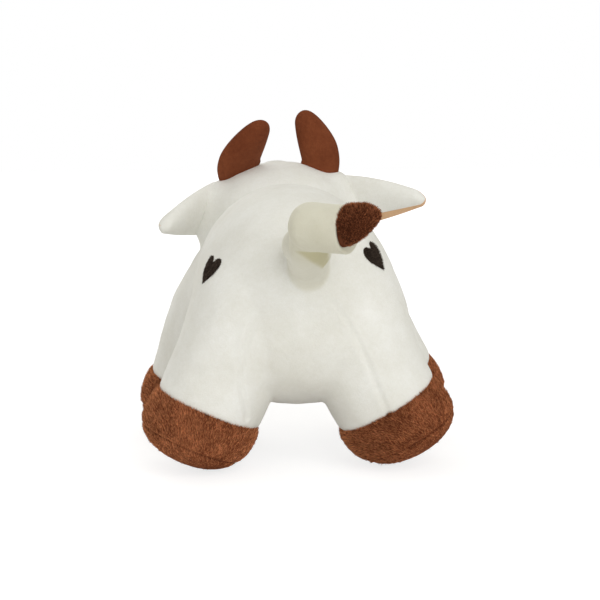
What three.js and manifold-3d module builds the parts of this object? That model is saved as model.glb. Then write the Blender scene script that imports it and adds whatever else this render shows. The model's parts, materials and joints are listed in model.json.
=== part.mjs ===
// A stuffed cow soft toy that stands on four short splayed legs, as it comes off the sewing table: skins of
// short-pile plush, polyester fibre inside, sewn-on horns, ears and tail, and a face with safety eyes.
// Millimetres, +Z up, the face towards -Y, so the toy's own left is +X. The floor is at z = 0, and the origin
// is under the middle of the toy's box.
import * as THREE from "three";
import { mergeVertices } from "three/addons/utils/BufferGeometryUtils.js";
import Module from "manifold-3d";

const wasm = await Module();
wasm.setup();

// Sewing: what every piece shares.
const seamGap = 0.3; // clearance left between pieces that touch
const plushThickness = 2.5; // backing and pile of a skin
const patchThickness = 1.1; // felt and embroidery that lie on a skin
const seamPinch = 1.4; // how far a seam draws a limb in
const seamPinchLength = 5;
const floorSettle = 0.5; // how far the toy's weight presses each sole flat

// Body: a fat egg that lies front to back, flatter below than above.
const bodyHalfWidth = 72.5;
const bodyUpperRadius = 86;
const bodyLowerRadius = 70;
const bodyFrontRadius = 82;
const bodyBackRadius = 84;
const bodyHeight = 110; // of its widest level above the floor
const bodyMiddle = 5; // how far its widest ring lies behind the toy's middle
const bodyLengthPower = 2.5;
const bodyUpperPower = 2;
const bodyLowerPower = 2.35;
const neckOpeningRadius = 30; // where the filling is packed in before the head is sewn on

// Head: a shorter egg in front of the body.
const headHalfWidth = 63;
const headUpperRadius = 64.5;
const headLowerRadius = 62;
const headFrontRadius = 56;
const headBackRadius = 56;
const headHeight = 141;
const headForward = 104;
const headPower = 2.2;
const nodDegrees = 8; // each way, as far as the neck seam gives
const nodSteps = 4;

// Muzzle: a soft pad sewn over the lower face.
const muzzleHalfWidth = 43;
const muzzleReach = 27;
const muzzleUpperRadius = 26;
const muzzleLowerRadius = 25;
const muzzleHeight = 117;
const muzzleForward = 147;
const muzzlePower = 2.3;
const nostrilHalfWidth = 4.2;
const nostrilHalfHeight = 6.2;
const nostrilSpacing = 32;
const nostrilRise = 6; // above the muzzle's middle

// Forelock: a small stuffed tuft between the horns.
const forelockHalfWidth = 17;
const forelockHalfDepth = 18;
const forelockHalfHeight = 12;
const forelockForward = 124;
const forelockSink = 9.4; // of its middle below the crown

// Eyes: moulded domes, each with a stem through the skin and a lock washer behind it.
const eyeRadius = 7.5;
const eyeDome = 5;
const eyeRim = 1;
const eyeSpacing = 62;
const eyeRise = 11; // of its middle above the muzzle's top
const stemRadius = 2;
const stemLength = 10;
const washerRadius = 7;
const washerThickness = 1.8;
const washerDepth = 4.6; // of its outer face below the skin's surface
const stemClearance = 0.15;

// Legs: each is a stout tube that hangs from the hip, with a hoof cap and a domed sole at its end. The toy is
// soft, so each leg has its own stance: where its sole stands, and how far it leans out and forwards.
const legRadius = 37.5;
const ankleRadius = 38;
const hoofRadius = 39.5;
const soleRadius = 35;
const legLength = 54; // from the hip to the hoof's seam
const hipDome = 50;
const hoofLength = 29;
const soleDome = 14;
const legDepthShare = 1.05; // front-to-back radius over side-to-side radius
const stances = {
  front_left: { side: 1, spread: 75, along: -52, splayDegrees: 21, sweepDegrees: 6 },
  front_right: { side: -1, spread: 86, along: -52, splayDegrees: 27, sweepDegrees: 6 },
  rear_left: { side: 1, spread: 77, along: 50, splayDegrees: 23.5, sweepDegrees: -3 },
  rear_right: { side: -1, spread: 75, along: 50, splayDegrees: 30, sweepDegrees: -3 },
};

// Horns: flat curved leaves that stand on the crown and lean in, each by its own amount.
const hornLength = 38;
const hornRootHalfWidth = 16.5;
const hornTipHalfWidth = 14.5;
const hornSwell = 4;
const hornHalfThickness = 7.5;
const hornRootRadius = 6;
const hornSpacing = 64;
const hornStandOff = 2; // of the root's line above the crown
const hornForward = 98;
const hornRootSlopeDegrees = 27; // of the sewn edge, down and outwards
const hornLies = {
  // its middle line towards the other horn, the tip's further lean by its curve, and the whole horn backwards
  left: { leanDegrees: 20, curlDegrees: 13, tiltDegrees: 40 },
  right: { leanDegrees: 31, curlDegrees: 11, tiltDegrees: 10 },
};
const hornFlexDegrees = 12; // each way

// Ears: padded leaves on the sides of the head, with a lining on the front face. One lies further back.
const earLength = 55;
const earRootHalfWidth = 22;
const earTipHalfWidth = 5.5;
const earSwell = 2;
const earHalfThickness = 6.5;
const earRootRadius = 5.5;
const earHeight = 171;
const earStandOff = 2.4; // of the root's line outside the head
const earForward = 100;
const earRootSlopeDegrees = 17; // of the sewn edge from upright
const earLies = {
  // its middle line down from square to its sewn edge, and the whole ear backwards from straight out
  left: { droopDegrees: 17, sweepDegrees: 56 },
  right: { droopDegrees: 1, sweepDegrees: 26 },
};
const earCurlDegrees = 6; // how much more the tip droops by its curve
const earFlapForwardDegrees = 15;
const earFlapBackDegrees = 20;
const flapSteps = 3;

// Tail: a tube that rises from a round root on the rump and turns to the toy's right, with a brown tip.
const tailRadius = 16;
const tailRootRadius = 18;
const tailRootHeight = 152;
const tailRootBack = 92;
const tailPathShares = [
  [0, 0, 0],
  [-0.01, 0.21, 0.19],
  [-0.06, 0.41, 0.28],
  [-0.22, 0.56, 0.3],
  [-0.42, 0.67, 0.43],
];
const tailReach = 96; // the length that the path's shares are taken of
const tailTipShare = 0.72; // where along the tail the brown tip starts
const tailTipPower = 1.25; // how blunt the tip is
const tailSamples = 60; // how finely the tail's path is followed

// Heart patches on the flanks: curves from the point up the front lobe, and down the back one.
const heartHalfWidth = 10;
const heartHeight = 21;
const heartPlaces = {
  // round from straight up, and backwards from the widest ring
  left: { turnDegrees: 66.5, latitudeDegrees: 26 },
  right: { turnDegrees: 57.5, latitudeDegrees: 39 },
};
const heartPointShare = -0.5;
const heartOutlineShares = [
  [0.7, -0.2, 1, 0, 1, 0.22],
  [1, 0.52, 0.3, 0.62, 0, 0.26],
  [-0.3, 0.62, -1, 0.52, -1, 0.22],
  [-1, 0, -0.7, -0.2, 0, -0.5],
];

// How finely the round forms are faceted.
const bodyAround = 32;
const bodyAlong = 18;
const smallAround = 20;
const smallAlong = 12;
const limbAround = 20;
const domeRows = 4;
const leafAround = 14;
const leafAlong = 12;

const radians = THREE.MathUtils.degToRad;
const lerp = THREE.MathUtils.lerp;
const quarterTurn = Math.PI / 2;
const sides = { left: 1, right: -1 };

// Turns a closed geometry into a solid that can be cut.
function solid(geometry) {
  const bare = geometry.clone();
  bare.deleteAttribute("normal");
  bare.deleteAttribute("uv");
  const merged = mergeVertices(bare, seamGap / 100);
  return new wasm.Manifold(
    new wasm.Mesh({
      numProp: 3,
      vertProperties: merged.attributes.position.array,
      triVerts: new Uint32Array(merged.index.array),
    }),
  );
}

// Turns a cut solid back into a geometry, with its place taken relative to the group that holds it.
function geometryOf(made, origin) {
  const mesh = made.getMesh();
  const points = new Float32Array(mesh.numVert * 3);
  for (let i = 0; i < mesh.numVert; i++) {
    points.set(mesh.vertProperties.subarray(i * mesh.numProp, i * mesh.numProp + 3), i * 3);
  }
  const geometry = new THREE.BufferGeometry();
  geometry.setAttribute("position", new THREE.BufferAttribute(points, 3));
  geometry.setIndex(new THREE.BufferAttribute(mesh.triVerts, 1));
  geometry.translate(-origin.x, -origin.y, -origin.z);
  geometry.computeVertexNormals();
  return geometry;
}

// The largest connected body of a cut solid: the slivers that a curved cut can leave are trimmed off.
function largest(made) {
  return made.decompose().reduce((best, body) => (body.volume() > best.volume() ? body : best));
}

// A closed skin drawn through rings of points, with one point at each end. Seen from the end, the rings run
// anticlockwise.
function closedSkin(start, rings, end) {
  const around = rings[0].length;
  const points = [start, ...rings.flat(), end];
  const at = (ring, i) => 1 + ring * around + (i % around);
  const last = rings.length - 1;
  const triangles = [];
  for (let i = 0; i < around; i++) {
    triangles.push(0, at(0, i + 1), at(0, i));
    for (let ring = 0; ring < last; ring++) {
      triangles.push(at(ring, i), at(ring, i + 1), at(ring + 1, i + 1));
      triangles.push(at(ring, i), at(ring + 1, i + 1), at(ring + 1, i));
    }
    triangles.push(at(last, i), at(last, i + 1), points.length - 1);
  }
  return new THREE.BufferGeometry().setFromPoints(points).setIndex(triangles);
}

// A sine or cosine drawn out to a power: 2 leaves it round, and more squares it.
const drawn = (value, power) => Math.sign(value) * Math.abs(value) ** (2 / power);

// A point on a stuffed egg, by its latitude from front to back and its turn from straight up towards +X.
function onEgg(egg, latitude, turn, grow = 0) {
  const upwards = Math.cos(turn);
  const sidePower = upwards > 0 ? egg.upperPower : egg.lowerPower;
  const backwards = Math.sin(latitude);
  const width = drawn(Math.cos(latitude), egg.lengthPower);
  const tall = (upwards > 0 ? egg.above : egg.below) + grow;
  const long = (backwards > 0 ? egg.back : egg.front) + grow;
  return new THREE.Vector3(
    egg.centre.x + (egg.halfWidth + grow) * width * drawn(Math.sin(turn), sidePower),
    egg.centre.y + long * drawn(backwards, egg.lengthPower),
    egg.centre.z + tall * width * drawn(upwards, sidePower),
  );
}

// A stuffed egg as a closed skin. grow swells it all over, for the clearance that a neighbour is cut with.
function eggForm(egg, grow = 0, around = bodyAround, along = bodyAlong) {
  const rings = [];
  for (let row = 1; row < along; row++) {
    const latitude = Math.PI * (row / along - 1 / 2);
    const ring = [];
    for (let i = 0; i < around; i++) ring.push(onEgg(egg, latitude, (2 * Math.PI * i) / around, grow));
    rings.push(ring);
  }
  return closedSkin(onEgg(egg, -quarterTurn, 0, grow), rings, onEgg(egg, quarterTurn, 0, grow));
}

// How far an egg's surface lies from its middle along one axis, at a given place along the other two.
function reachOfEgg(egg, axis, at) {
  const upper = at.z > egg.centre.z;
  const power = upper ? egg.upperPower : egg.lowerPower;
  const across = Math.abs(at.x - egg.centre.x) / egg.halfWidth;
  const along = Math.abs(at.y - egg.centre.y) / (at.y > egg.centre.y ? egg.back : egg.front);
  const high = Math.abs(at.z - egg.centre.z) / (upper ? egg.above : egg.below);
  const girth = (1 - along ** egg.lengthPower) ** (1 / egg.lengthPower);
  if (axis === "x") return egg.halfWidth * (girth ** power - high ** power) ** (1 / power);
  if (axis === "z") return egg.above * (girth ** power - across ** power) ** (1 / power);
  const width = (across ** power + high ** power) ** (1 / power);
  return egg.front * (1 - width ** egg.lengthPower) ** (1 / egg.lengthPower);
}

// A placement at a point of a surface, with Z out of the surface and Y up it.
function placeOnSurface(point, up, out) {
  return new THREE.Matrix4().makeBasis(up.clone().cross(out), up, out).setPosition(point);
}

function placeOnFront(egg, x, z) {
  const pointAt = (u, v) => {
    const point = new THREE.Vector3(u, egg.centre.y, v);
    return point.setY(egg.centre.y - reachOfEgg(egg, "y", point));
  };
  const up = pointAt(x, z + 1).sub(pointAt(x, z - 1)).normalize();
  const across = pointAt(x + 1, z).sub(pointAt(x - 1, z));
  return placeOnSurface(pointAt(x, z), up, across.cross(up).normalize());
}

function placeOnFlank(egg, latitude, turn) {
  const step = radians(1);
  const up = onEgg(egg, latitude, turn - step).sub(onEgg(egg, latitude, turn + step)).normalize();
  const back = onEgg(egg, latitude + step, turn).sub(onEgg(egg, latitude - step, turn));
  return placeOnSurface(onEgg(egg, latitude, turn), up, back.cross(up).normalize());
}

// A patch with a flat outline that lies on an egg's surface and follows it.
function patchOn(egg, shape, place) {
  const depth = egg.halfWidth / 2;
  const prism = new THREE.ExtrudeGeometry(shape, { depth, bevelEnabled: false, curveSegments: domeRows });
  const cutter = solid(prism.translate(0, 0, -depth / 2).applyMatrix4(place));
  const layer = solid(eggForm(egg, seamGap + patchThickness)).subtract(solid(eggForm(egg, seamGap)));
  return largest(layer.intersect(cutter));
}

// A leaf sewn from two flat panels. It grows along +Y from a round root along X, and is thin along Z.
// half is 1 for the back panel's half, -1 for the front panel's half and 0 for the whole leaf.
function leafForm(leaf, half = 0, grow = 0) {
  const gap = half * (seamGap / 2);
  const rootRadius = leaf.rootRadius + grow;
  const sectionAt = (along) => {
    const share = Math.max(0, along / leaf.length);
    const rootRound = along < 0 ? Math.sqrt(Math.max(0, 1 - (along / rootRadius) ** 2)) : 1;
    const pastTip = Math.max(0, along - leaf.length + leaf.tipHalfWidth) / leaf.tipHalfWidth;
    const tipRound = Math.sqrt(Math.max(0, 1 - pastTip ** 2));
    const swell = Math.sin(Math.PI * Math.min(1, share));
    const halfWidth = lerp(leaf.rootHalfWidth, leaf.tipHalfWidth, share) + leaf.swell * swell + grow;
    return {
      middle: leaf.lean * share + leaf.curl * share ** 2,
      halfWidth: halfWidth * (along < 0 ? (2 + rootRound) / 3 : tipRound),
      halfThickness: (lerp(leaf.rootRadius, leaf.halfThickness, swell) + grow) * rootRound * tipRound,
    };
  };
  const count = half === 0 ? leafAround : leafAround / 2 + 1;
  const rings = [];
  for (let row = 1; row < leafAlong; row++) {
    const along = lerp(-rootRadius, leaf.length, (1 - Math.cos((Math.PI * row) / leafAlong)) / 2);
    const section = sectionAt(along);
    const ring = [];
    for (let i = 0; i < count; i++) {
      const angle = half === 0 ? (2 * Math.PI * i) / count : Math.PI * (i / (count - 1) - half / 2);
      const thick = gap + (section.halfThickness - Math.abs(gap)) * Math.cos(angle);
      ring.push(new THREE.Vector3(section.middle + section.halfWidth * Math.sin(angle), along, thick));
    }
    rings.push(ring);
  }
  const tip = new THREE.Vector3(leaf.lean + leaf.curl, leaf.length + grow, gap);
  return closedSkin(new THREE.Vector3(0, -rootRadius, gap), rings, tip);
}

// The placement that lays a leaf's X along its sewn edge and its Y along its length, at its root.
function leafPlace(root, edge, outward) {
  const across = edge.clone().normalize();
  const length = outward.clone().addScaledVector(across, -outward.dot(across)).normalize();
  return new THREE.Matrix4().makeBasis(across, length, across.clone().cross(length)).setPosition(root);
}

// A round bed for a root roll.
function bedFor(root, edge, radius, halfLength) {
  const up = new THREE.Vector3(0, 1, 0);
  const turn = new THREE.Quaternion().setFromUnitVectors(up, edge.clone().normalize());
  const roll = new THREE.CapsuleGeometry(radius + seamGap, 2 * halfLength, domeRows, smallAround);
  return solid(roll.applyQuaternion(turn).translate(root.x, root.y, root.z));
}

// A solid turned about an axis along X through a pivot.
function nodded(made, pivot, degrees) {
  const away = pivot.clone().negate();
  return made.translate(away.toArray()).rotate([degrees, 0, 0]).translate(pivot.toArray());
}

// Even steps through a range of angles.
function anglesThrough(from, to, steps) {
  return Array.from({ length: steps + 1 }, (_, i) => lerp(from, to, i / steps));
}

// Everything with a hand is laid out for the toy's left and mirrored for its right.
const onSide = (side, made) => (side > 0 ? made : made.mirror([1, 0, 0]));

const cream = new THREE.MeshStandardMaterial({ color: 0xeeebe0, roughness: 0.95, metalness: 0 });
const brown = new THREE.MeshStandardMaterial({ color: 0x85452b, roughness: 0.95, metalness: 0 });
const hornBrown = new THREE.MeshStandardMaterial({ color: 0x6e3a22, roughness: 0.9, metalness: 0 });
const tan = new THREE.MeshStandardMaterial({ color: 0xe0b48c, roughness: 0.95, metalness: 0 });
const darkFelt = new THREE.MeshStandardMaterial({ color: 0x33271f, roughness: 0.9, metalness: 0 });
const eyeBlack = new THREE.MeshStandardMaterial({ color: 0x14110f, roughness: 0.15, metalness: 0 });
const washerWhite = new THREE.MeshStandardMaterial({ color: 0xe8e8e4, roughness: 0.5, metalness: 0 });
const fibre = new THREE.MeshStandardMaterial({ color: 0xf6f6f2, roughness: 1, metalness: 0 });

const toy = new THREE.Group();
toy.name = "plush_cow";
toy.userData.pivot = new THREE.Vector3();

// A group at a pivot: what is sewn on there moves about it.
function jointGroup(parent, name, pivot) {
  const group = new THREE.Group();
  group.name = name;
  group.position.copy(pivot).sub(parent.userData.pivot);
  group.userData.pivot = pivot.clone();
  parent.add(group);
  return group;
}

// Adds a finished solid to a group as a named mesh.
function addPiece(group, name, made, material) {
  const piece = new THREE.Mesh(geometryOf(largest(made), group.userData.pivot), material);
  piece.name = name;
  group.add(piece);
}

const bodyEgg = {
  centre: new THREE.Vector3(0, bodyMiddle, bodyHeight),
  halfWidth: bodyHalfWidth,
  above: bodyUpperRadius,
  below: bodyLowerRadius,
  front: bodyFrontRadius,
  back: bodyBackRadius,
  lengthPower: bodyLengthPower,
  upperPower: bodyUpperPower,
  lowerPower: bodyLowerPower,
};
const headEgg = {
  centre: new THREE.Vector3(0, -headForward, headHeight),
  halfWidth: headHalfWidth,
  above: headUpperRadius,
  below: headLowerRadius,
  front: headFrontRadius,
  back: headBackRadius,
  lengthPower: headPower,
  upperPower: headPower,
  lowerPower: headPower,
};
const muzzleEgg = {
  centre: new THREE.Vector3(0, -muzzleForward, muzzleHeight),
  halfWidth: muzzleHalfWidth,
  above: muzzleUpperRadius,
  below: muzzleLowerRadius,
  front: muzzleReach,
  back: muzzleReach,
  lengthPower: muzzlePower,
  upperPower: muzzlePower,
  lowerPower: muzzlePower,
};
const onCrown = (forward, across, rise) => {
  const point = new THREE.Vector3(across, -forward, headEgg.centre.z + headEgg.above);
  return point.setZ(headEgg.centre.z + reachOfEgg(headEgg, "z", point) + rise);
};
const forelockEgg = {
  centre: onCrown(forelockForward, 0, -forelockSink),
  halfWidth: forelockHalfWidth,
  above: forelockHalfHeight,
  below: forelockHalfHeight,
  front: forelockHalfDepth,
  back: forelockHalfDepth,
  lengthPower: headPower,
  upperPower: headPower,
  lowerPower: headPower,
};
const smallEgg = (egg, grow = 0) => solid(eggForm(egg, grow, smallAround, smallAlong));
const bodyClear = solid(eggForm(bodyEgg, seamGap));
const headClear = solid(eggForm(headEgg, seamGap));

// The neck seam's middle, where the body's front meets the back of the head.
const neck = new THREE.Vector3(0, bodyMiddle - bodyFrontRadius, headHeight - headLowerRadius / 4);
const nodAngles = anglesThrough(-nodDegrees, nodDegrees, nodSteps);

// Body: its skin, open at the neck and dished where the tail's root sits, and its filling.
const tailRoot = new THREE.Vector3(0, tailRootBack, tailRootHeight);
function tailBall(grow) {
  const ball = new THREE.SphereGeometry(tailRootRadius + grow, smallAround, smallAlong);
  return solid(ball).translate(tailRoot.toArray());
}
const bore = new THREE.CylinderGeometry(neckOpeningRadius, neckOpeningRadius, bodyFrontRadius, bodyAround);
const neckPlug = solid(bore.rotateX(quarterTurn)).translate(neck.toArray());
const bodyShell = solid(eggForm(bodyEgg)).subtract(smallEgg(bodyEgg, -plushThickness));
addPiece(toy, "body_skin", bodyShell.subtract(neckPlug).subtract(tailBall(seamGap)), cream);
const bodyFilling = smallEgg(bodyEgg, -plushThickness - seamGap).subtract(tailBall(seamGap));
addPiece(toy, "body_filling", bodyFilling, fibre);

// Legs, hooves and soles. A leg's own form is turned about its middle line, from the hip at 0 down along +Y.
const hoofEnd = legLength + hoofLength;
const soleStart = hoofEnd + seamGap;

function radiusAlongLeg(along) {
  const share = THREE.MathUtils.clamp((along - legLength) / hoofLength, 0, 1);
  const thigh = lerp(legRadius, ankleRadius, along / legLength);
  const bulge = (hoofRadius - (ankleRadius + soleRadius) / 2) * Math.sin(Math.PI * share);
  const pinchAt = (seam) => seamPinch * Math.exp(-(((along - seam) / seamPinchLength) ** 2));
  const tube = along < legLength ? thigh : lerp(ankleRadius, soleRadius, share) + bulge;
  return tube - pinchAt(legLength) - pinchAt(hoofEnd);
}

function legStretch(from, to, rows, domeStart, domeEnd) {
  const profile = [new THREE.Vector2(0, from - domeStart)];
  const onDome = (seam, dome, share) => {
    const angle = quarterTurn * share;
    profile.push(new THREE.Vector2(radiusAlongLeg(seam) * Math.cos(angle), seam + dome * Math.sin(angle)));
  };
  for (let row = domeRows - 1; row > 0 && domeStart > 0; row--) onDome(from, -domeStart, row / domeRows);
  for (let row = 0; row <= rows; row++) {
    const along = lerp(from, to, row / Math.max(rows, 1));
    profile.push(new THREE.Vector2(radiusAlongLeg(along), along));
  }
  for (let row = 1; row < domeRows && domeEnd > 0; row++) onDome(to, domeEnd, row / domeRows);
  profile.push(new THREE.Vector2(0, to + domeEnd));
  return new THREE.LatheGeometry(profile, limbAround);
}

const floorReach = bodyFrontRadius + bodyBackRadius + headForward;
const floorBlock = new THREE.BoxGeometry(2 * floorReach, 2 * floorReach, floorReach);
const floor = solid(floorBlock.translate(0, 0, -floorReach / 2));
for (const [name, stance] of Object.entries(stances)) {
  const splay = radians(stance.splayDegrees);
  const sweep = radians(stance.sweepDegrees);
  const outwards = stance.side * Math.sin(splay);
  const down = new THREE.Vector3(outwards, -Math.sin(sweep), -Math.cos(splay)).normalize();
  const along = new THREE.Vector3(0, 1, 0).addScaledVector(down, -down.y).normalize();
  const soleRise = Math.hypot(radiusAlongLeg(hoofEnd) * Math.sin(splay), soleDome * down.z) - floorSettle;
  const soleMiddle = new THREE.Vector3(stance.side * stance.spread, stance.along, soleRise);
  const hip = soleMiddle.addScaledVector(down, -soleStart);
  const place = new THREE.Matrix4().makeBasis(down.clone().cross(along), down, along).setPosition(hip);
  place.multiply(new THREE.Matrix4().makeScale(1, 1, legDepthShare));
  const placed = (form) => solid(form.applyMatrix4(place)).subtract(bodyClear);
  let leg = placed(legStretch(0, legLength - seamGap / 2, 4, hipDome, 0));
  for (const degrees of nodAngles) leg = leg.subtract(nodded(headClear, neck, degrees));
  addPiece(toy, `leg_${name}`, leg, cream);
  const hoof = placed(legStretch(legLength + seamGap / 2, hoofEnd, 5, 0, 0));
  addPiece(toy, `hoof_${name}`, hoof.subtract(floor), brown);
  const sole = placed(legStretch(soleStart, soleStart, 0, 0, soleDome));
  addPiece(toy, `sole_${name}`, sole.subtract(floor), brown);
}

// Heart patches.
const heart = new THREE.Shape().moveTo(0, heartHeight * heartPointShare);
for (const curve of heartOutlineShares) {
  const [x1, y1, x2, y2, x3, y3] = curve.map((share, i) => share * (i % 2 ? heartHeight : heartHalfWidth));
  heart.bezierCurveTo(x1, y1, x2, y2, x3, y3);
}
for (const [hand, side] of Object.entries(sides)) {
  const { turnDegrees, latitudeDegrees } = heartPlaces[hand];
  const place = placeOnFlank(bodyEgg, radians(latitudeDegrees), radians(turnDegrees));
  const patch = patchOn(bodyEgg, heart, place);
  addPiece(toy, `heart_patch_${hand}`, onSide(side, patch), darkFelt);
}

// Tail: a round root that lifts in its seat, and a tube that wags round the root.
const tailPath = new THREE.CatmullRomCurve3(
  tailPathShares.map(([x, y, z]) => new THREE.Vector3(x, y, z).multiplyScalar(tailReach).add(tailRoot)),
  false,
  "centripetal",
);
const tailFrames = tailPath.computeFrenetFrames(tailSamples);

function tailStretch(from, to, rows) {
  const rings = [];
  for (let row = 0; row <= rows; row++) {
    const part = to < 1 ? row / rows : Math.sin((quarterTurn * row) / rows);
    const share = lerp(from, to, part);
    if (share > 1 - seamGap / tailReach) break;
    const toTip = Math.max(0, share - tailTipShare) / (1 - tailTipShare);
    const radius = tailRadius * Math.sqrt(1 - toTip ** tailTipPower);
    const middle = tailPath.getPointAt(share);
    const sample = Math.round(share * tailSamples);
    const ring = [];
    for (let i = 0; i < limbAround; i++) {
      const angle = (2 * Math.PI * i) / limbAround;
      const point = middle.clone().addScaledVector(tailFrames.normals[sample], radius * Math.cos(angle));
      ring.push(point.addScaledVector(tailFrames.binormals[sample], radius * Math.sin(angle)));
    }
    rings.push(ring);
  }
  return solid(closedSkin(tailPath.getPointAt(from), rings, tailPath.getPointAt(to)));
}

const tailSeamShare = seamGap / tailPath.getLength();
const tailLift = jointGroup(toy, "tail_lift", tailRoot);
addPiece(tailLift, "tail_base", tailBall(0), cream);
const tailWag = jointGroup(tailLift, "tail_wag", tailRoot);
addPiece(tailWag, "tail", tailStretch(0, tailTipShare - tailSeamShare, 9).subtract(tailBall(seamGap)), cream);
addPiece(tailWag, "tail_tip", tailStretch(tailTipShare, 1, 7), brown);

// Horns and ears.
const hornOf = (hand) => ({
  length: hornLength,
  rootHalfWidth: hornRootHalfWidth,
  tipHalfWidth: hornTipHalfWidth,
  swell: hornSwell,
  halfThickness: hornHalfThickness,
  rootRadius: hornRootRadius,
  lean: -hornLength * Math.tan(radians(hornLies[hand].leanDegrees)),
  curl: -hornLength * Math.tan(radians(hornLies[hand].curlDegrees)),
});
const earOf = (hand) => ({
  length: earLength,
  rootHalfWidth: earRootHalfWidth,
  tipHalfWidth: earTipHalfWidth,
  swell: earSwell,
  halfThickness: earHalfThickness,
  rootRadius: earRootRadius,
  lean: -earLength * Math.tan(radians(earLies[hand].droopDegrees)),
  curl: -earLength * Math.tan(radians(earCurlDegrees)),
});
const hornRoot = onCrown(hornForward, hornSpacing / 2, hornStandOff);
const hornSlope = radians(hornRootSlopeDegrees);
const hornEdge = new THREE.Vector3(Math.cos(hornSlope), 0, -Math.sin(hornSlope));
const temple = new THREE.Vector3(headHalfWidth, -earForward, earHeight);
const earRoot = temple.clone().setX(reachOfEgg(headEgg, "x", temple) + earStandOff);
const earSlope = radians(earRootSlopeDegrees);
const earEdge = new THREE.Vector3(-Math.sin(earSlope), 0, Math.cos(earSlope));
const hornPlaces = {};
const earPlaces = {};
for (const hand of Object.keys(sides)) {
  const sweep = radians(earLies[hand].sweepDegrees);
  const tilt = Math.tan(radians(hornLies[hand].tiltDegrees));
  const hornUp = new THREE.Vector3(Math.sin(hornSlope), tilt, Math.cos(hornSlope));
  hornPlaces[hand] = leafPlace(hornRoot, hornEdge, hornUp);
  earPlaces[hand] = leafPlace(earRoot, earEdge, new THREE.Vector3(Math.cos(sweep), Math.sin(sweep), 0));
}

// Head skin and filling, hollowed where the body's front presses in as the head nods, and bedded for the
// horns and ears as they flex.
const headCuts = nodAngles.map((degrees) => nodded(bodyClear, neck, degrees));
for (const [hand, side] of Object.entries(sides)) {
  const hornRoll = hornRootHalfWidth - hornRootRadius / 2;
  const earRoll = earRootHalfWidth - earRootRadius / 2;
  headCuts.push(onSide(side, bedFor(hornRoot, hornEdge, hornRootRadius, hornRoll)));
  headCuts.push(onSide(side, bedFor(earRoot, earEdge, earRootRadius, earRoll)));
  const turned = (leaf, degrees, place) =>
    onSide(side, solid(leafForm(leaf, 0, seamGap).rotateX(radians(degrees)).applyMatrix4(place)));
  for (const degrees of anglesThrough(-hornFlexDegrees, hornFlexDegrees, flapSteps)) {
    headCuts.push(turned(hornOf(hand), degrees, hornPlaces[hand]));
  }
  for (const degrees of anglesThrough(-earFlapForwardDegrees, earFlapBackDegrees, flapSteps)) {
    headCuts.push(turned(earOf(hand), degrees, earPlaces[hand]));
  }
}
const cutHead = (made) => headCuts.reduce((rest, cut) => rest.subtract(cut), made);
let headSkin = cutHead(solid(eggForm(headEgg)).subtract(smallEgg(headEgg, -plushThickness)));
let headFilling = cutHead(smallEgg(headEgg, -plushThickness - seamGap));

// Eyes and their washers, turned about the line that stands out of the face.
const eyeProfile = [new THREE.Vector2(0, -plushThickness), new THREE.Vector2(eyeRadius, -plushThickness)];
for (let row = 0; row < domeRows; row++) {
  const angle = (quarterTurn * row) / domeRows;
  eyeProfile.push(new THREE.Vector2(eyeRadius * Math.cos(angle), eyeRim + eyeDome * Math.sin(angle)));
}
eyeProfile.push(new THREE.Vector2(0, eyeRim + eyeDome));
const eyeHeight = muzzleHeight + muzzleUpperRadius + eyeRise;
const eyePlace = placeOnFront(headEgg, eyeSpacing / 2, eyeHeight);
const atEye = (form) => solid(form.rotateX(quarterTurn).applyMatrix4(eyePlace));
const discAtEye = (radius, outer, inner) => {
  const disc = new THREE.CylinderGeometry(radius, radius, outer - inner, smallAround);
  return atEye(disc.translate(0, (outer + inner) / 2, 0));
};
const eyeDomePiece = largest(atEye(new THREE.LatheGeometry(eyeProfile, smallAround)).subtract(headClear));
const eye = eyeDomePiece.add(discAtEye(stemRadius, eyeRim, -stemLength));
const stemHole = discAtEye(stemRadius + stemClearance, eyeRim, -stemLength - seamGap);
const washerInside = washerDepth + washerThickness;
const washer = discAtEye(washerRadius, -washerDepth, -washerInside).subtract(stemHole);
const washerPocket = discAtEye(washerRadius + seamGap, 0, -washerInside - seamGap).add(stemHole);
for (const side of Object.values(sides)) {
  headSkin = headSkin.subtract(onSide(side, stemHole));
  headFilling = headFilling.subtract(onSide(side, washerPocket));
}

const headNod = jointGroup(toy, "head_nod", neck);
addPiece(headNod, "head_skin", headSkin, cream);
addPiece(headNod, "head_filling", headFilling, fibre);
addPiece(headNod, "muzzle", smallEgg(muzzleEgg).subtract(headClear), tan);
addPiece(headNod, "forelock", smallEgg(forelockEgg).subtract(headClear), cream);
const nostrilShape = new THREE.Shape().absellipse(0, 0, nostrilHalfWidth, nostrilHalfHeight, 0, 2 * Math.PI);
const nostrilPlace = placeOnFront(muzzleEgg, nostrilSpacing / 2, muzzleHeight + nostrilRise);
const nostril = patchOn(muzzleEgg, nostrilShape, nostrilPlace);
for (const [hand, side] of Object.entries(sides)) {
  addPiece(headNod, `eye_${hand}`, onSide(side, eye), eyeBlack);
  addPiece(headNod, `eye_washer_${hand}`, onSide(side, washer), washerWhite);
  addPiece(headNod, `nostril_${hand}`, onSide(side, nostril), darkFelt);
  const mirror = new THREE.Vector3(side, 1, 1);
  const hornFlex = jointGroup(headNod, `horn_${hand}_flex`, hornRoot.clone().multiply(mirror));
  const horn = solid(leafForm(hornOf(hand)).applyMatrix4(hornPlaces[hand]));
  addPiece(hornFlex, `horn_${hand}`, onSide(side, horn), hornBrown);
  const earFlap = jointGroup(headNod, `ear_${hand}_flap`, earRoot.clone().multiply(mirror));
  const earHalf = (half) => onSide(side, solid(leafForm(earOf(hand), half).applyMatrix4(earPlaces[hand])));
  addPiece(earFlap, `ear_${hand}`, earHalf(1), cream);
  addPiece(earFlap, `ear_lining_${hand}`, earHalf(-1), tan);
}

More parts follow.
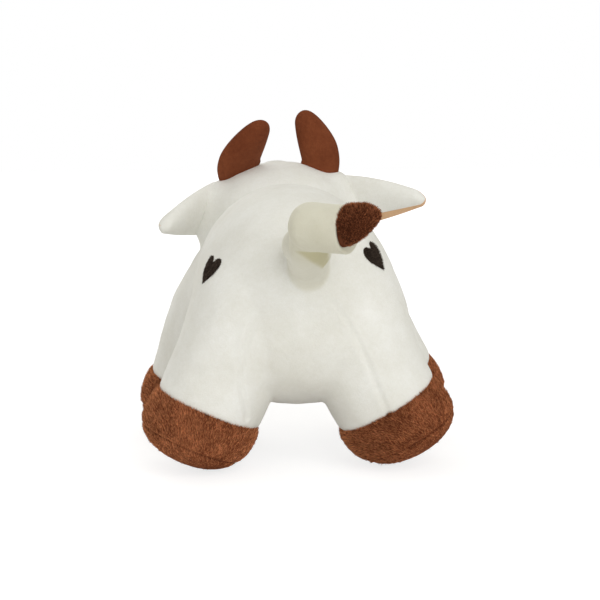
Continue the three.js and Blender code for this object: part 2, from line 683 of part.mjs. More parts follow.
// Bring the origin under the middle of the toy's box.
const box = new THREE.Box3().setFromObject(toy);
const middle = box.getCenter(new THREE.Vector3()).setZ(box.min.z);
for (const child of toy.children) child.position.sub(middle);

export default toy;
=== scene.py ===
import json
import math

import bmesh
import bpy
import numpy as np
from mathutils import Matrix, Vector, noise


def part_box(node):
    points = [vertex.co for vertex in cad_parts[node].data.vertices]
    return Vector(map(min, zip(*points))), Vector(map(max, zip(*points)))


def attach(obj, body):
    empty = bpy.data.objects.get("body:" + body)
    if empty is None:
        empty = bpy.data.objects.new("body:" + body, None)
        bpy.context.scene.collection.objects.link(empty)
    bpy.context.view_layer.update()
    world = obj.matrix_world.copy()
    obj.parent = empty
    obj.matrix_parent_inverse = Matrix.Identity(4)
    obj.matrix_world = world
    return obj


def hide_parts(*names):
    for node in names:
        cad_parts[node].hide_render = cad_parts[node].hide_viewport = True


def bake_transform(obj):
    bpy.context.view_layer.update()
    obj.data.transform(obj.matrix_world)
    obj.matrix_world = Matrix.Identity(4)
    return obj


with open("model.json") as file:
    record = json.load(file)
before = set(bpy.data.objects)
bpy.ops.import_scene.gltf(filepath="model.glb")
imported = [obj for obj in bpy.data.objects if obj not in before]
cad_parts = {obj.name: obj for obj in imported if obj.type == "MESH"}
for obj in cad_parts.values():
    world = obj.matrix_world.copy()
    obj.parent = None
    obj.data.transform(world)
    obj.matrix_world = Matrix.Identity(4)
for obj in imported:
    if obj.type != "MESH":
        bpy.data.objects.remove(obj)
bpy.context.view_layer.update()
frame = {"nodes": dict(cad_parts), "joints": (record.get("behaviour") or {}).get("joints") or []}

# Body cloth: one skin of short cream plush over polyester fibre. The side panels run down into the four
# legs as far as the hoof seams, and a gusset closes the belly and the insides of the legs. The tail's root
# is part of it.
MM = 0.001
BODY_FRONT_SHARE = 82 / (82 + 84)  # of the body's length that lies before its widest ring
BODY_BELOW_SHARE = 70 / (70 + 86)
BODY_POWERS = (2.5, 2.0, 2.35)  # how square it is along its length, above and below
SKIN_DEPTH = 2.8 * MM  # from the cloth's face to the filling's
TAIL_ROOT = (0.0, 92.0, 152.0)  # from the toy's middle on the floor, in mm
LEG_LENGTH = 56 * MM  # from the hip to the hoof's seam
LEG_RADIUS, ANKLE_RADIUS, HOOF_RADIUS = 37.5 * MM, 38 * MM, 39 * MM
HOOF_LENGTH = 27 * MM
HOOF_WIDEST, HOOF_BOTTOM = 68 * MM, 97.3 * MM
HOOF_POWER = 2.3
SWAY_START = 58 * MM
ANKLE_PINCH = (1.1 * MM, 2.6 * MM)  # how deep and how wide the cloth is drawn in
SOLE_PINCH = (1.2 * MM, 1.1 * MM)
RIM_RADIUS = 33.6 * MM
HIP_DOME = 50 * MM
SOLE_DOME = 14 * MM
LEG_DEPTH_SHARE = 1.05
SEAM_GAP = 0.3 * MM
FLOOR_SETTLE = 0.5 * MM
# Each leg's side, its sole's middle in mm, its lean outwards and forwards in degrees, its hoof's sway in mm
STANCES = {
    "front_left": (1, 74.5, -52, 17, 6, 1.5),
    "front_right": (-1, 88, -52, 27, 6, 2),
    "rear_left": (1, 76, 50, 23.5, -3, 3.2),
    "rear_right": (-1, 75, 50, 30, -3, 4.6),
}
BODY_CELL = 1.5 * MM  # how fine the cloth's mesh is
CLOTH_ROOM = 12 * MM  # left round the solids for it
CREASE_REACH = 4 * MM  # how far a leg melts into the belly on its inside, and on the flank
FLANK_REACH = 20 * MM
FLANK_EDGES = (26 * MM, 62 * MM)  # from the middle, where the one reach gives way to the other
NECK_CLEAR, NECK_LEAST_SHARE = 20 * MM, 0.1  # near the head and the hooves both go down to a share
ANKLE_CLEAR, ANKLE_LEAST_SHARE = 14 * MM, 0.05
NECK_ROUND = 3 * MM
BODY_LEAN = 3 * MM  # how far the back leans to the toy's left
FLANK_SWELLS = {1: (0.8 * MM, -20 * MM), -1: (4.2 * MM, 30 * MM)}  # by side: how full, and how far back
SWELL_HEIGHT, SWELL_SPREAD, SWELL_LENGTH = 106 * MM, 34 * MM, 50 * MM
SWELL_EDGES = (20 * MM, 60 * MM)
STUB_LENGTH, STUB_DEPTH = 9 * MM, 27 * MM  # how far the tail's root stands out, and goes in
STUB_RADIUS = 12.9 * MM
STUB_SHIFT = (-1.8 * MM, 0, 1 * MM)  # of its middle from the tail's joint
STUB_REACH, STUB_MELT = 10 * MM, 5 * MM  # how far it melts into its lobe, and into the body
ROOT_LOBE = ((6, 101, 163), 11.6)  # its fullness on the left: place and radius in mm

pivots = {j["name"]: np.array(j["pos_m"]) for j in frame["joints"]}
tail_joint = pivots["tail_lift"]
toy_middle = tail_joint - np.array(TAIL_ROOT) * MM


def spot(x, y, z):
    """A place on the toy in mm from its own middle, as a point of the frame."""
    return toy_middle + np.array((x, y, z)) * MM


def unit(way):
    return np.array(way) / np.linalg.norm(way)


def lengths(ways):
    return np.linalg.norm(ways, axis=1)


def steps_up(value, low, high):
    """0 below low and 1 above high, with a smooth rise between."""
    share = np.clip((value - low) / (high - low), 0, 1)
    return share * share * (3 - 2 * share)


def melt(a, b, reach):
    """The union of two forms, given as distances to their faces, with the corner between them filled."""
    near = np.clip(reach - np.abs(a - b), 0, None) / reach
    return np.minimum(a, b) - near**2 * reach / 4


def carve(a, b, reach):
    """The first form with the second taken out of it, and the edge rounded."""
    return -melt(-a, b, reach)


def rod(q, way, along, radius):
    """How far places stand off a rod that runs along a way, given how far along it each one lies."""
    return lengths(q - np.multiply.outer(along, way)) - radius


LEAST_GIRTH = 1e-6  # keeps the distance at an egg's very middle finite


class Egg:
    """A stuffed egg that lies front to back, squarer or rounder by its powers."""

    def __init__(self, centre, half_width, above, below, front, back, powers):
        self.centre, self.half_width, self.powers = np.array(centre), half_width, powers
        self.above, self.below, self.front, self.back = above, below, front, back

    def distance(self, p):
        q = p - self.centre
        along, upper, lower = self.powers
        is_up = q[:, 2] > 0
        power = np.where(is_up, upper, lower)
        tall = np.where(is_up, self.above, self.below)
        long = np.where(q[:, 1] > 0, self.back, self.front)
        girth = (np.abs(q[:, 0]) / self.half_width) ** power + (np.abs(q[:, 2]) / tall) ** power
        whole = girth ** (along / power) + (np.abs(q[:, 1]) / long) ** along
        whole = np.maximum(whole, LEAST_GIRTH) ** (1 / along)
        return lengths(q) * (1 - 1 / whole)


def leg_radius(along):
    """A leg's radius at a distance down from its hip: a tube, a seam, then a round hoof and its seam."""
    thigh = LEG_RADIUS + (ANKLE_RADIUS - LEG_RADIUS) * along / LEG_LENGTH
    swell = np.clip((along - LEG_LENGTH) / (HOOF_WIDEST - LEG_LENGTH), 0, 1)
    hoof = ANKLE_RADIUS + (HOOF_RADIUS - ANKLE_RADIUS) * np.sin(swell * np.pi / 2)
    past = np.clip((along - HOOF_WIDEST) / (HOOF_BOTTOM - HOOF_WIDEST), 0, 1)
    hoof = hoof * (1 - past**HOOF_POWER) ** (1 / HOOF_POWER)
    pinches = 0
    for seam, deep, wide in ((LEG_LENGTH, *ANKLE_PINCH), (LEG_LENGTH + HOOF_LENGTH, *SOLE_PINCH)):
        pinches = pinches + deep * np.exp(-(((along - seam) / wide) ** 2))
    return np.where(along < LEG_LENGTH, thigh, hoof) - pinches


class Leg:
    """One leg: its hip, the way down it, and the ways across it and along the toy."""

    def __init__(self, side, spread, along, splay, sweep, sway):
        splay, sweep = math.radians(splay), math.radians(sweep)
        down = np.array((side * math.sin(splay), -math.sin(sweep), -math.cos(splay)))
        self.down = unit(down)
        self.depth = unit(np.array((0.0, 1.0, 0.0)) - self.down * self.down[1])
        self.across = np.cross(self.down, self.depth)
        rise = math.hypot(RIM_RADIUS * math.sin(splay), SOLE_DOME * self.down[2]) - FLOOR_SETTLE
        sole = spot(side * spread, along, 0) + np.array((0, 0, rise))
        self.hip = sole - self.down * (LEG_LENGTH + HOOF_LENGTH + SEAM_GAP)
        self.most_sway = side * sway * MM

    def sway(self, down):
        """How far a hoof's middle lies out from the leg's straight line."""
        return self.most_sway * steps_up(down, SWAY_START, HOOF_BOTTOM)

    def own(self, p):
        """Places across, down and along the leg."""
        q = p - self.hip
        down = q @ self.down
        return q @ self.across - self.sway(down), down, q @ self.depth / LEG_DEPTH_SHARE

    def place(self, across, down, depth):
        """Points of the frame from places across, down and along the leg."""
        ways = (self.across, self.down, self.depth * LEG_DEPTH_SHARE)
        places = (across + self.sway(down), down, depth)
        return self.hip + sum(np.multiply.outer(v, way) for v, way in zip(places, ways))

    def distance(self, p):
        across, down, depth = self.own(p)
        side = np.hypot(across, depth)
        tube = side - leg_radius(np.maximum(down, 0))
        dome = (np.hypot(side / LEG_RADIUS, down / HIP_DOME) - 1) * LEG_RADIUS
        form = np.where(down > 0, tube, dome)
        return carve(form, LEG_LENGTH - SEAM_GAP / 2 - down, ANKLE_PINCH[0])


legs = {name: Leg(*stance) for name, stance in STANCES.items()}
fill_low, fill_high = np.array(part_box("body_filling"))
body_low, body_size = fill_low - SKIN_DEPTH, fill_high - fill_low + 2 * SKIN_DEPTH
body_before = np.array((0.5, BODY_FRONT_SHARE, BODY_BELOW_SHARE)) * body_size  # its widest ring
(half_wide, front, below), (_, back, above) = body_before, body_size - body_before
body_egg = Egg(body_low + body_before, half_wide, above, below, front, back, BODY_POWERS)
HEAD_MIDDLE, HEAD_POWERS = (0, -104, 141), (2.2, 2.2, 2.2)
HEAD_SIZES = (63 * MM, 64.5 * MM, 62 * MM, 56 * MM, 56 * MM)  # half its width, above, below, front, back
head_egg = Egg(spot(*HEAD_MIDDLE), *HEAD_SIZES, HEAD_POWERS)
NOD = math.radians(8)
TAIL_WAY = (-0.02, 0.74, 0.67)
tail_way = unit(TAIL_WAY)


def nodded(p, angle):
    """Points turned about the neck, so that a form asked at them is nodded the other way."""
    q = p - pivots["head_nod"]
    c, s = np.cos(angle), np.sin(angle)
    turned = np.stack((q[:, 0], c * q[:, 1] - s * q[:, 2], s * q[:, 1] + c * q[:, 2]), 1)
    return turned + pivots["head_nod"]


def head_sweep(p):
    return np.min([head_egg.distance(nodded(p, angle)) for angle in (-NOD, 0, NOD)], axis=0)


def stub_distance(p):
    q = p - tail_joint - np.array(STUB_SHIFT)
    tube = rod(q, tail_way, np.clip(q @ tail_way, -STUB_DEPTH, STUB_LENGTH), STUB_RADIUS)
    place, radius = ROOT_LOBE
    return melt(tube, lengths(p - spot(*place)) - radius * MM, STUB_REACH)


def leaning(p):
    """Points moved the other way from the back's lean."""
    high = steps_up(p[:, 2], body_egg.centre[2], body_egg.centre[2] + body_egg.above)
    return p - np.multiply.outer(high * BODY_LEAN, (1, 0, 0))


def body_distance(p):
    sweep = head_sweep(p)
    x, y, z = (p - toy_middle).T
    for side, (full, back) in FLANK_SWELLS.items():
        away = ((z - SWELL_HEIGHT) / SWELL_SPREAD) ** 2 + ((y - back) / SWELL_LENGTH) ** 2
        fuller = full * np.exp(-away) * steps_up(side * x, *SWELL_EDGES)
        p = p - np.multiply.outer(fuller, (side, 0, 0))
    limbs = None
    for leg in legs.values():
        form = leg.distance(p)
        limbs = form if limbs is None else melt(limbs, form, CREASE_REACH)
    limbs = carve(limbs, sweep - 2 * SEAM_GAP, NECK_ROUND)
    outwards = steps_up(np.abs(p[:, 0] - toy_middle[0]), *FLANK_EDGES)
    clear = np.clip(sweep / NECK_CLEAR, NECK_LEAST_SHARE, 1)
    reach = (CREASE_REACH + (FLANK_REACH - CREASE_REACH) * outwards) * clear
    ends = np.min([np.abs(leg.own(p)[1] - LEG_LENGTH) for leg in legs.values()], axis=0)
    reach = reach * np.clip(ends / ANKLE_CLEAR, ANKLE_LEAST_SHARE, 1)
    whole = melt(body_egg.distance(leaning(p)), limbs, reach)
    return melt(whole, stub_distance(p), STUB_MELT)


def slopes(distance, p, step=0.3 * MM):
    """How a form's distance changes along X, Y and Z at points."""
    moved = [distance(p + e) - distance(p - e) for e in np.eye(3) * step]
    return np.stack(moved, 1) / (2 * step)


LEAST_SLOPE = 0.2  # a form's distance is taken to change by no less on the way to its face


def drawn_onto(distance, p, rounds=5, most=2 * MM):
    """Points moved onto a form's face."""
    for _ in range(rounds):
        g = slopes(distance, p)
        far = np.clip(distance(p) / np.maximum((g**2).sum(1), LEAST_SLOPE), -most, most)
        p = p - g * far[:, None]
    return p


def skin_of(distance, low, high, cell):
    """Points and four-cornered faces of a form's face, one point in each cell that the face crosses."""
    counts = np.ceil((np.array(high) - np.array(low)) / cell).astype(int) + 1
    axes = [low[i] + cell * np.arange(counts[i]) for i in range(3)]
    grid = np.stack(np.meshgrid(*axes, indexing="ij"), -1)
    inside = (distance(grid.reshape(-1, 3)) < 0).reshape(counts)
    number = np.full(counts, -1)
    ends = (slice(0, -1), slice(1, None))
    corners = [inside[i, j, k] for i in ends for j in ends for k in ends]
    some, every = np.any(corners, axis=0), np.all(corners, axis=0)
    cells = np.argwhere(some & ~every)
    number[tuple(cells.T)] = np.arange(len(cells))
    points = np.array(low) + (cells + 0.5) * cell
    faces = []
    for axis in range(3):
        here = np.moveaxis(inside, axis, 0)
        change = np.moveaxis(here[:-1] != here[1:], 0, axis)
        at = np.argwhere(change)
        leaving = inside[tuple(at.T)]
        side_u, side_v, _ = np.roll(np.eye(3, dtype=int), -axis - 1, axis=0)
        ring = [at, at - side_u, at - side_u - side_v, at - side_v]
        quads = np.stack([number[tuple(c.T)] for c in ring], 1)
        faces.append(np.where(leaving[:, None], quads, quads[:, ::-1]))
    return points, np.concatenate(faces)


def evened(points, faces, rounds, share=0.6):
    """Points moved towards the middle of their neighbours along the faces' edges."""
    a = np.concatenate([faces[:, i] for i in range(4)] * 2)
    b = np.concatenate([faces[:, (i + 1) % 4] for i in range(4)] + [faces[:, i - 1] for i in range(4)])
    count = np.bincount(a, minlength=len(points))[:, None]
    for _ in range(rounds):
        total = np.stack([np.bincount(a, points[b, i], len(points)) for i in range(3)], 1)
        points = points + share * (total / count - points)
    return points


def covered(distance, low, high, cell, rounds=3, evenings=2):
    """An even mesh of a form's face."""
    points, faces = skin_of(distance, low, high, cell)
    for _ in range(rounds):
        points = drawn_onto(distance, evened(points, faces, evenings))
    return points, faces


def piece(name, points, faces, material, smooth=True):
    """A mesh object with its place in its points and its faces turned outwards."""
    mesh = bpy.data.meshes.new(name)
    mesh.from_pydata(points.tolist(), [], [list(map(int, face)) for face in faces])
    mesh.validate()
    shell = bmesh.new()
    shell.from_mesh(mesh)
    if shell.calc_volume(signed=True) < 0:
        bmesh.ops.reverse_faces(shell, faces=shell.faces)
        shell.to_mesh(mesh)
    shell.free()
    if smooth:
        mesh.shade_smooth()
    mesh.materials.append(material)
    made = bpy.data.objects.new(name, mesh)
    bpy.context.scene.collection.objects.link(made)
    return made


def paint_shade(made, shares):
    """Paints shade on a piece: how far its colour is darkened towards the painted shade tone, 0 to 1, at
    each of its points.
    """
    marks = made.data.attributes.new("painted_shade", "FLOAT", "POINT")
    marks.data.foreach_set("value", np.clip(shares, 0, 1).astype(np.float32))
    return made


def rows_of(items, name):
    """A vector property of a mesh's points or faces, one row for each."""
    rows = np.empty(len(items) * 3, np.float32)
    items.foreach_get(name, rows)
    return rows.reshape(-1, 3)


def uneven(made, size, height, finer=0.4):
    """Pushes a piece's skin in and out a little, as fibre packs unevenly behind cloth."""
    mesh = made.data
    places, ways = rows_of(mesh.vertices, "co"), rows_of(mesh.vertices, "normal")
    spots = [Vector(p) / size for p in places]
    heights = [noise.noise(q) + finer * noise.noise(q / finer) for q in spots]
    places = places + ways * (height * np.array(heights, np.float32))[:, None]
    mesh.vertices.foreach_set("co", places.ravel())
    mesh.update()
    return made


class Wire:
    """A socket's value in a material. Sums on it add Math nodes to the material."""

    def __init__(self, tree, socket=None):
        self.tree, self.socket = tree, socket

    def into(self, socket):
        self.tree.links.new(self.socket, socket)

    def node(self, kind, inputs=None, output=0, **settings):
        """A new node of a kind, with its settings and the values or links of its sockets."""
        made = self.tree.nodes.new(kind)
        for name, value in settings.items():
            setattr(made, name, value)
        for name, value in (inputs or {}).items():
            if isinstance(value, Wire):
                value.into(made.inputs[name])
            else:
                made.inputs[name].default_value = value
        return Wire(self.tree, made.outputs[output])

    def speckle(self, place, scale, detail, roughness):
        given = dict(Vector=place, Scale=scale, Detail=detail, Roughness=roughness)
        return self.node("ShaderNodeTexNoise", given)

    def mix(self, share, *colours):
        """A colour between two, each a wire or red, green and blue."""
        low, high = (c if isinstance(c, Wire) else (*c, 1) for c in colours)
        return self.node("ShaderNodeMix", {0: share, 6: low, 7: high}, output=2, data_type="RGBA")

    def maths(self, operation, a, b):
        return self.node("ShaderNodeMath", {0: a, 1: b}, operation=operation)

    def __add__(self, other):
        return self.maths("ADD", self, other)

    def __sub__(self, other):
        return self.maths("SUBTRACT", self, other)

    def __rsub__(self, other):
        return self.maths("SUBTRACT", other, self)

    def __mul__(self, other):
        return self.maths("MULTIPLY", self, other)

    __radd__, __rmul__ = __add__, __mul__


def finish_of(name, roughness, **fixed):
    """A new material with its shader's fixed sockets set, a wire to start from and the shader."""
    material = bpy.data.materials.new(name)
    material.use_nodes = True
    shader = material.node_tree.nodes["Principled BSDF"]
    shader.inputs["Roughness"].default_value = roughness
    for socket, value in fixed.items():
        shader.inputs[socket.replace("_", " ")].default_value = value
    return material, Wire(material.node_tree), shader


PAINTED_SHADE_TONE = (0.74, 0.70, 0.49)  # painted shade: the darker, warmer colour put where shade falls, as shares of the plush's own shade colour
PLUSH_ROUGHNESS, PLUSH_SHINE, SHEEN_ROUGHNESS = 0.95, 0.15, 0.45
NAP = (34.0, 3.0, 0.55)  # scale, detail and roughness of the patches where the pile leans another way
STRANDS, CLUMPS = (1.0, 2.0, 0.6), (0.3, 2.0, 0.5)  # the same of its tufts, with scales in tufts
NAP_LEAN, STRANDS_LEAN, CLUMPS_LEAN, LEAN_START = 1.5, 0.7, 0.5, 0.85  # how much each lightens it
CLUMPS_HEIGHT, PLUSH_RELIEF = 0.8, 0.5
CREAM = dict(shade=(0.76, 0.753, 0.70), light=(0.875, 0.878, 0.855), tint=(1, 0.98, 0.94))
SHORT_PILE = dict(tuft=0.9 * MM, height=0.5 * MM, sheen=0.25)


def plush(name, shade, light, tint, tuft, height, sheen):
    """Short pile: soft patches where it leans another way, tufts that catch the light, and painted shade
    where a piece marks it.
    """
    gloss = dict(Sheen_Weight=sheen, Sheen_Roughness=SHEEN_ROUGHNESS, Sheen_Tint=(*tint, 1))
    material, wire, shader = finish_of(name, PLUSH_ROUGHNESS, Specular_IOR_Level=PLUSH_SHINE, **gloss)
    place = wire.node("ShaderNodeTexCoord", output="Object")
    nap = wire.speckle(place, *NAP)
    strands, clumps = (wire.speckle(place, scale / tuft, *rest) for scale, *rest in (STRANDS, CLUMPS))
    lean = nap * NAP_LEAN + strands * STRANDS_LEAN + clumps * CLUMPS_LEAN - LEAN_START
    # Painted shade: the colour goes towards a darker, warmer tone where the piece marks shade
    shade_share = wire.node("ShaderNodeAttribute", attribute_name="painted_shade", output="Fac")
    shade_tone = [a * b for a, b in zip(shade, PAINTED_SHADE_TONE)]
    wire.mix(shade_share, wire.mix(lean, shade, light), shade_tone).into(shader.inputs["Base Color"])
    relief = dict(Height=strands + clumps * CLUMPS_HEIGHT, Strength=PLUSH_RELIEF, Distance=height)
    wire.node("ShaderNodeBump", relief).into(shader.inputs["Normal"])
    return material


cream_plush = plush("cream_plush", **CREAM, **SHORT_PILE)

GUSSET_SEAMS = [  # in mm from the toy's middle on the floor, from under the tail or the chest down the legs
    [(27, 86, 124), (35, 86, 110), (41, 86, 95), (45, 86, 80), (44, 84, 62), (40, 80, 42)],
    [(-8, 93, 132), (-19, 88, 121), (-33, 86, 99), (-43, 86, 77), (-50, 87, 59), (-57, 86, 44)],
    [(12, -76, 100), (30, -76, 92), (42, -82, 78), (48, -88, 62), (50, -90, 46)],
    [(-12, -76, 100), (-32, -76, 92), (-46, -82, 78), (-54, -88, 62), (-58, -90, 48)],
]
SEAM_DEPTH, SEAM_WIDTH = 1.2 * MM, 1.9 * MM
SEAM_FADE_SHARE = 0.35  # of its length, where it is still shallow
SEAM_ROLL_SHARE = 0.3  # how far the cloth stands up on both sides of a seam, of its depth
SEAM_ROLL_AT, SEAM_REACH = 2, 4  # where, and how far a seam draws the cloth, in its widths
SEAM_SAMPLES = 80
PUCKER_SHARE, PUCKER_SIZE = 0.35, 5 * MM
BODY_LUMPS = (26 * MM, 0.9 * MM)  # how large and how high


def smooth_path(knots, samples, fine=40):
    """Even steps along a curve through points that may be spaced unevenly."""
    knots = [np.array(knot, float) for knot in knots]
    knots = [2 * knots[0] - knots[1], *knots, 2 * knots[-1] - knots[-2]]
    line = []
    for four in zip(knots, knots[1:], knots[2:], knots[3:]):
        gaps = [np.linalg.norm(b - a) ** 0.5 for a, b in zip(four, four[1:])]
        t = np.cumsum([0, *gaps])
        for now in np.linspace(t[1], t[2], fine, endpoint=False):
            level = list(four)
            for spread in ([(0, 1), (1, 2), (2, 3)], [(0, 2), (1, 3)], [(1, 2)]):
                level = [
                    (a * (t[end] - now) + b * (now - t[start])) / (t[end] - t[start])
                    for a, b, (start, end) in zip(level, level[1:], spread)
                ]
            line.append(level[0])
    line = np.array([*line, knots[-2]])
    run = np.concatenate([[0], np.cumsum(lengths(np.diff(line, axis=0)))])
    even = np.linspace(0, run[-1], samples + 1)
    return np.stack([np.interp(even, run, line[:, i]) for i in range(3)], 1)


def drawn_in(distance, p, seam):
    """How far points near a seam are drawn into the stuffing, as moves."""
    knots = drawn_onto(distance, np.array([spot(*knot) for knot in seam]))
    knots = drawn_onto(distance, smooth_path(knots, SEAM_SAMPLES))
    away = [lengths(p - knot) for knot in knots]
    along = np.argmin(away, axis=0) / len(knots)
    away = np.min(away, axis=0)
    near = away < SEAM_REACH * SEAM_WIDTH
    ways = slopes(distance, p[near])
    ways = ways / lengths(ways)[:, None]
    away = away[near] / SEAM_WIDTH
    puckers = 1 + PUCKER_SHARE * np.array([noise.noise(Vector(q) / PUCKER_SIZE) for q in p[near]])
    depth = SEAM_DEPTH * steps_up(along[near], 0, SEAM_FADE_SHARE) * puckers
    depth = depth * (np.exp(-(away**2)) - SEAM_ROLL_SHARE * np.exp(-((away - SEAM_ROLL_AT) ** 2)))
    moves = np.zeros_like(p)
    moves[near] = ways * depth[:, None]
    return moves


UNDER_TAIL = (-6, 97, 137)  # the hollow under the tail, where shade is painted, in mm
UNDER_TAIL_SPREAD = (16 * MM, 17 * MM, 12 * MM)
# How strongly shade is painted in the hollow under the tail, between the gusset seams and on the tail's
# root
UNDER_TAIL_SHADE, GUSSET_SHADE, STUB_SHADE = 0.05, 0.08, 0.34
GUSSET_EDGES, GUSSET_HEIGHTS = (20 * MM, 48 * MM), (95 * MM, 125 * MM)
# Painted shadow in the fold under the tail's elbow, which is lower to the right: its heights, its edges and
# its start
FOLD_TOP, FOLD_LOW, FOLD_SLOPE = 161 * MM, 153 * MM, 0.67
FOLD_SOFT, FOLD_TOP_SOFT = 3.5 * MM, 2.5 * MM
FOLD_SIDES, FOLD_BACK = (10.5 * MM, 15 * MM), 104 * MM
STUB_EDGES = (0.5 * MM, 3 * MM)
sewn_as_one = ["body_skin", "body_filling", "tail_base", *[f"leg_{name}" for name in legs]]
corners = np.array([corner for node in sewn_as_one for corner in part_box(node)])
cloth_low, cloth_high = corners.min(0) - CLOTH_ROOM, corners.max(0) + CLOTH_ROOM
body_points, body_faces = covered(body_distance, cloth_low, cloth_high, BODY_CELL)
for seam in GUSSET_SEAMS:
    body_points = body_points - drawn_in(body_distance, body_points, seam)
body_cloth = uneven(piece("body_cloth", body_points, body_faces, cream_plush), *BODY_LUMPS)
# Painted shade on the body cloth: a little in the hollow under the tail and between the gusset seams, more
# on the tail's root and in the fold under its elbow
under_tail = lengths((body_points - spot(*UNDER_TAIL)) / UNDER_TAIL_SPREAD)
inside = 1 - steps_up(np.abs(body_points[:, 0] - toy_middle[0]), *GUSSET_EDGES)
gusset = inside * (1 - steps_up(body_points[:, 2], *GUSSET_HEIGHTS)) * GUSSET_SHADE


def fold_shade(p):
    """Painted shadow under the tail's elbow: 1 in the fold and 0 away from it."""
    x, y, z = (p - toy_middle).T
    low = FOLD_LOW + FOLD_SLOPE * x
    tall = steps_up(z, low - FOLD_SOFT, low + FOLD_SOFT)
    tall = tall * (1 - steps_up(z, FOLD_TOP, FOLD_TOP + FOLD_TOP_SOFT))
    return tall * (1 - steps_up(np.abs(x), *FOLD_SIDES)) * (y > FOLD_BACK)


# The shares of painted shade are put together, and the largest wins
on_stub = 1 - steps_up(stub_distance(body_points), *STUB_EDGES)
shade_shares = np.maximum(gusset + UNDER_TAIL_SHADE * np.exp(-(under_tail**2)), STUB_SHADE * on_stub)
paint_shade(body_cloth, np.maximum(shade_shares, fold_shade(body_points)))
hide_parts(*sewn_as_one)
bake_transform(body_cloth)

# Hooves and soles: caps of brown plush with a longer pile, sewn on at the ankles, and a domed sole sewn
# round each cap's rim. The pile is brushed this way and that, stands off the cloth and hides the seams.
HOOF_PILE = dict(Density=2.2e6, Length=3.0 * MM, Width=0.5 * MM, Unrest=2.4, Clump=300.0, Seed=7)
PILE_LAY = 1.7  # how strongly it lies up the leg
STRAND_STRAY, STRAND_LENGTHS = 0.35, (0.65, 1.15)  # how unlike its neighbours a strand is
STRAND_CURL, STRAND_DROP = 1.6, -0.12
LENGTH_SEED, TONE_SEED = 3, 5
BROWN_SHADE, BROWN_LIGHT = (0.17, 0.048, 0.018), (0.92, 0.37, 0.17)
PILE_ROUGHNESS, PILE_SHINE = 0.9, 0.05
TUFTS, PATCHES = (150.0, 3.0, 0.7), (38.0, 2.0, 0.5)  # scale, detail and roughness of its shades
TONE_LIGHT, TUFTS_LIGHT, PATCHES_LIGHT, LIGHT_START = 0.85, 0.6, 0.5, 0.53  # how much each lightens it
CAP_AROUND, CAP_ROWS, DOME_ROWS = 96, 40, 22
CAP_TURN_IN = 1.5 * MM
CAP_LIFT = 0.2 * MM
PILE_ON_FLOOR = 0.25 * MM
FLOOR_CLEAR = 1.5 * MM
SEAM_PARTING = 0.6 * MM  # the pile is parted along the sole's seam


def turns_of(around):
    return np.linspace(0, 2 * np.pi, around, endpoint=False)


def ringed(first, rings, last):
    """Points and faces of a closed skin: rings of points between a first point and a last one."""
    rows, around = rings.shape[:2]
    i = np.arange(around)
    j = (i + 1) % around
    end = 1 + (rows - 1) * around
    faces = [(0, 1 + b, 1 + a) for a, b in zip(i, j)]
    for low in range(1, end, around):
        high = low + around
        faces += [(low + a, low + b, high + b, high + a) for a, b in zip(i, j)]
    faces += [(end + a, end + b, end + around) for a, b in zip(i, j)]
    return np.concatenate([[first], rings.reshape(-1, 3), [last]]), faces


def lathed(leg, profile):
    """A closed skin turned about a leg's middle line, from radii and distances down it."""
    turns = turns_of(CAP_AROUND)
    radii, downs = np.array(profile[1:-1]).T[:, :, None]
    first, last = (leg.place(0, profile[i][1], 0) for i in (0, -1))
    return ringed(first, leg.place(radii * np.sin(turns), downs, radii * np.cos(turns)), last)


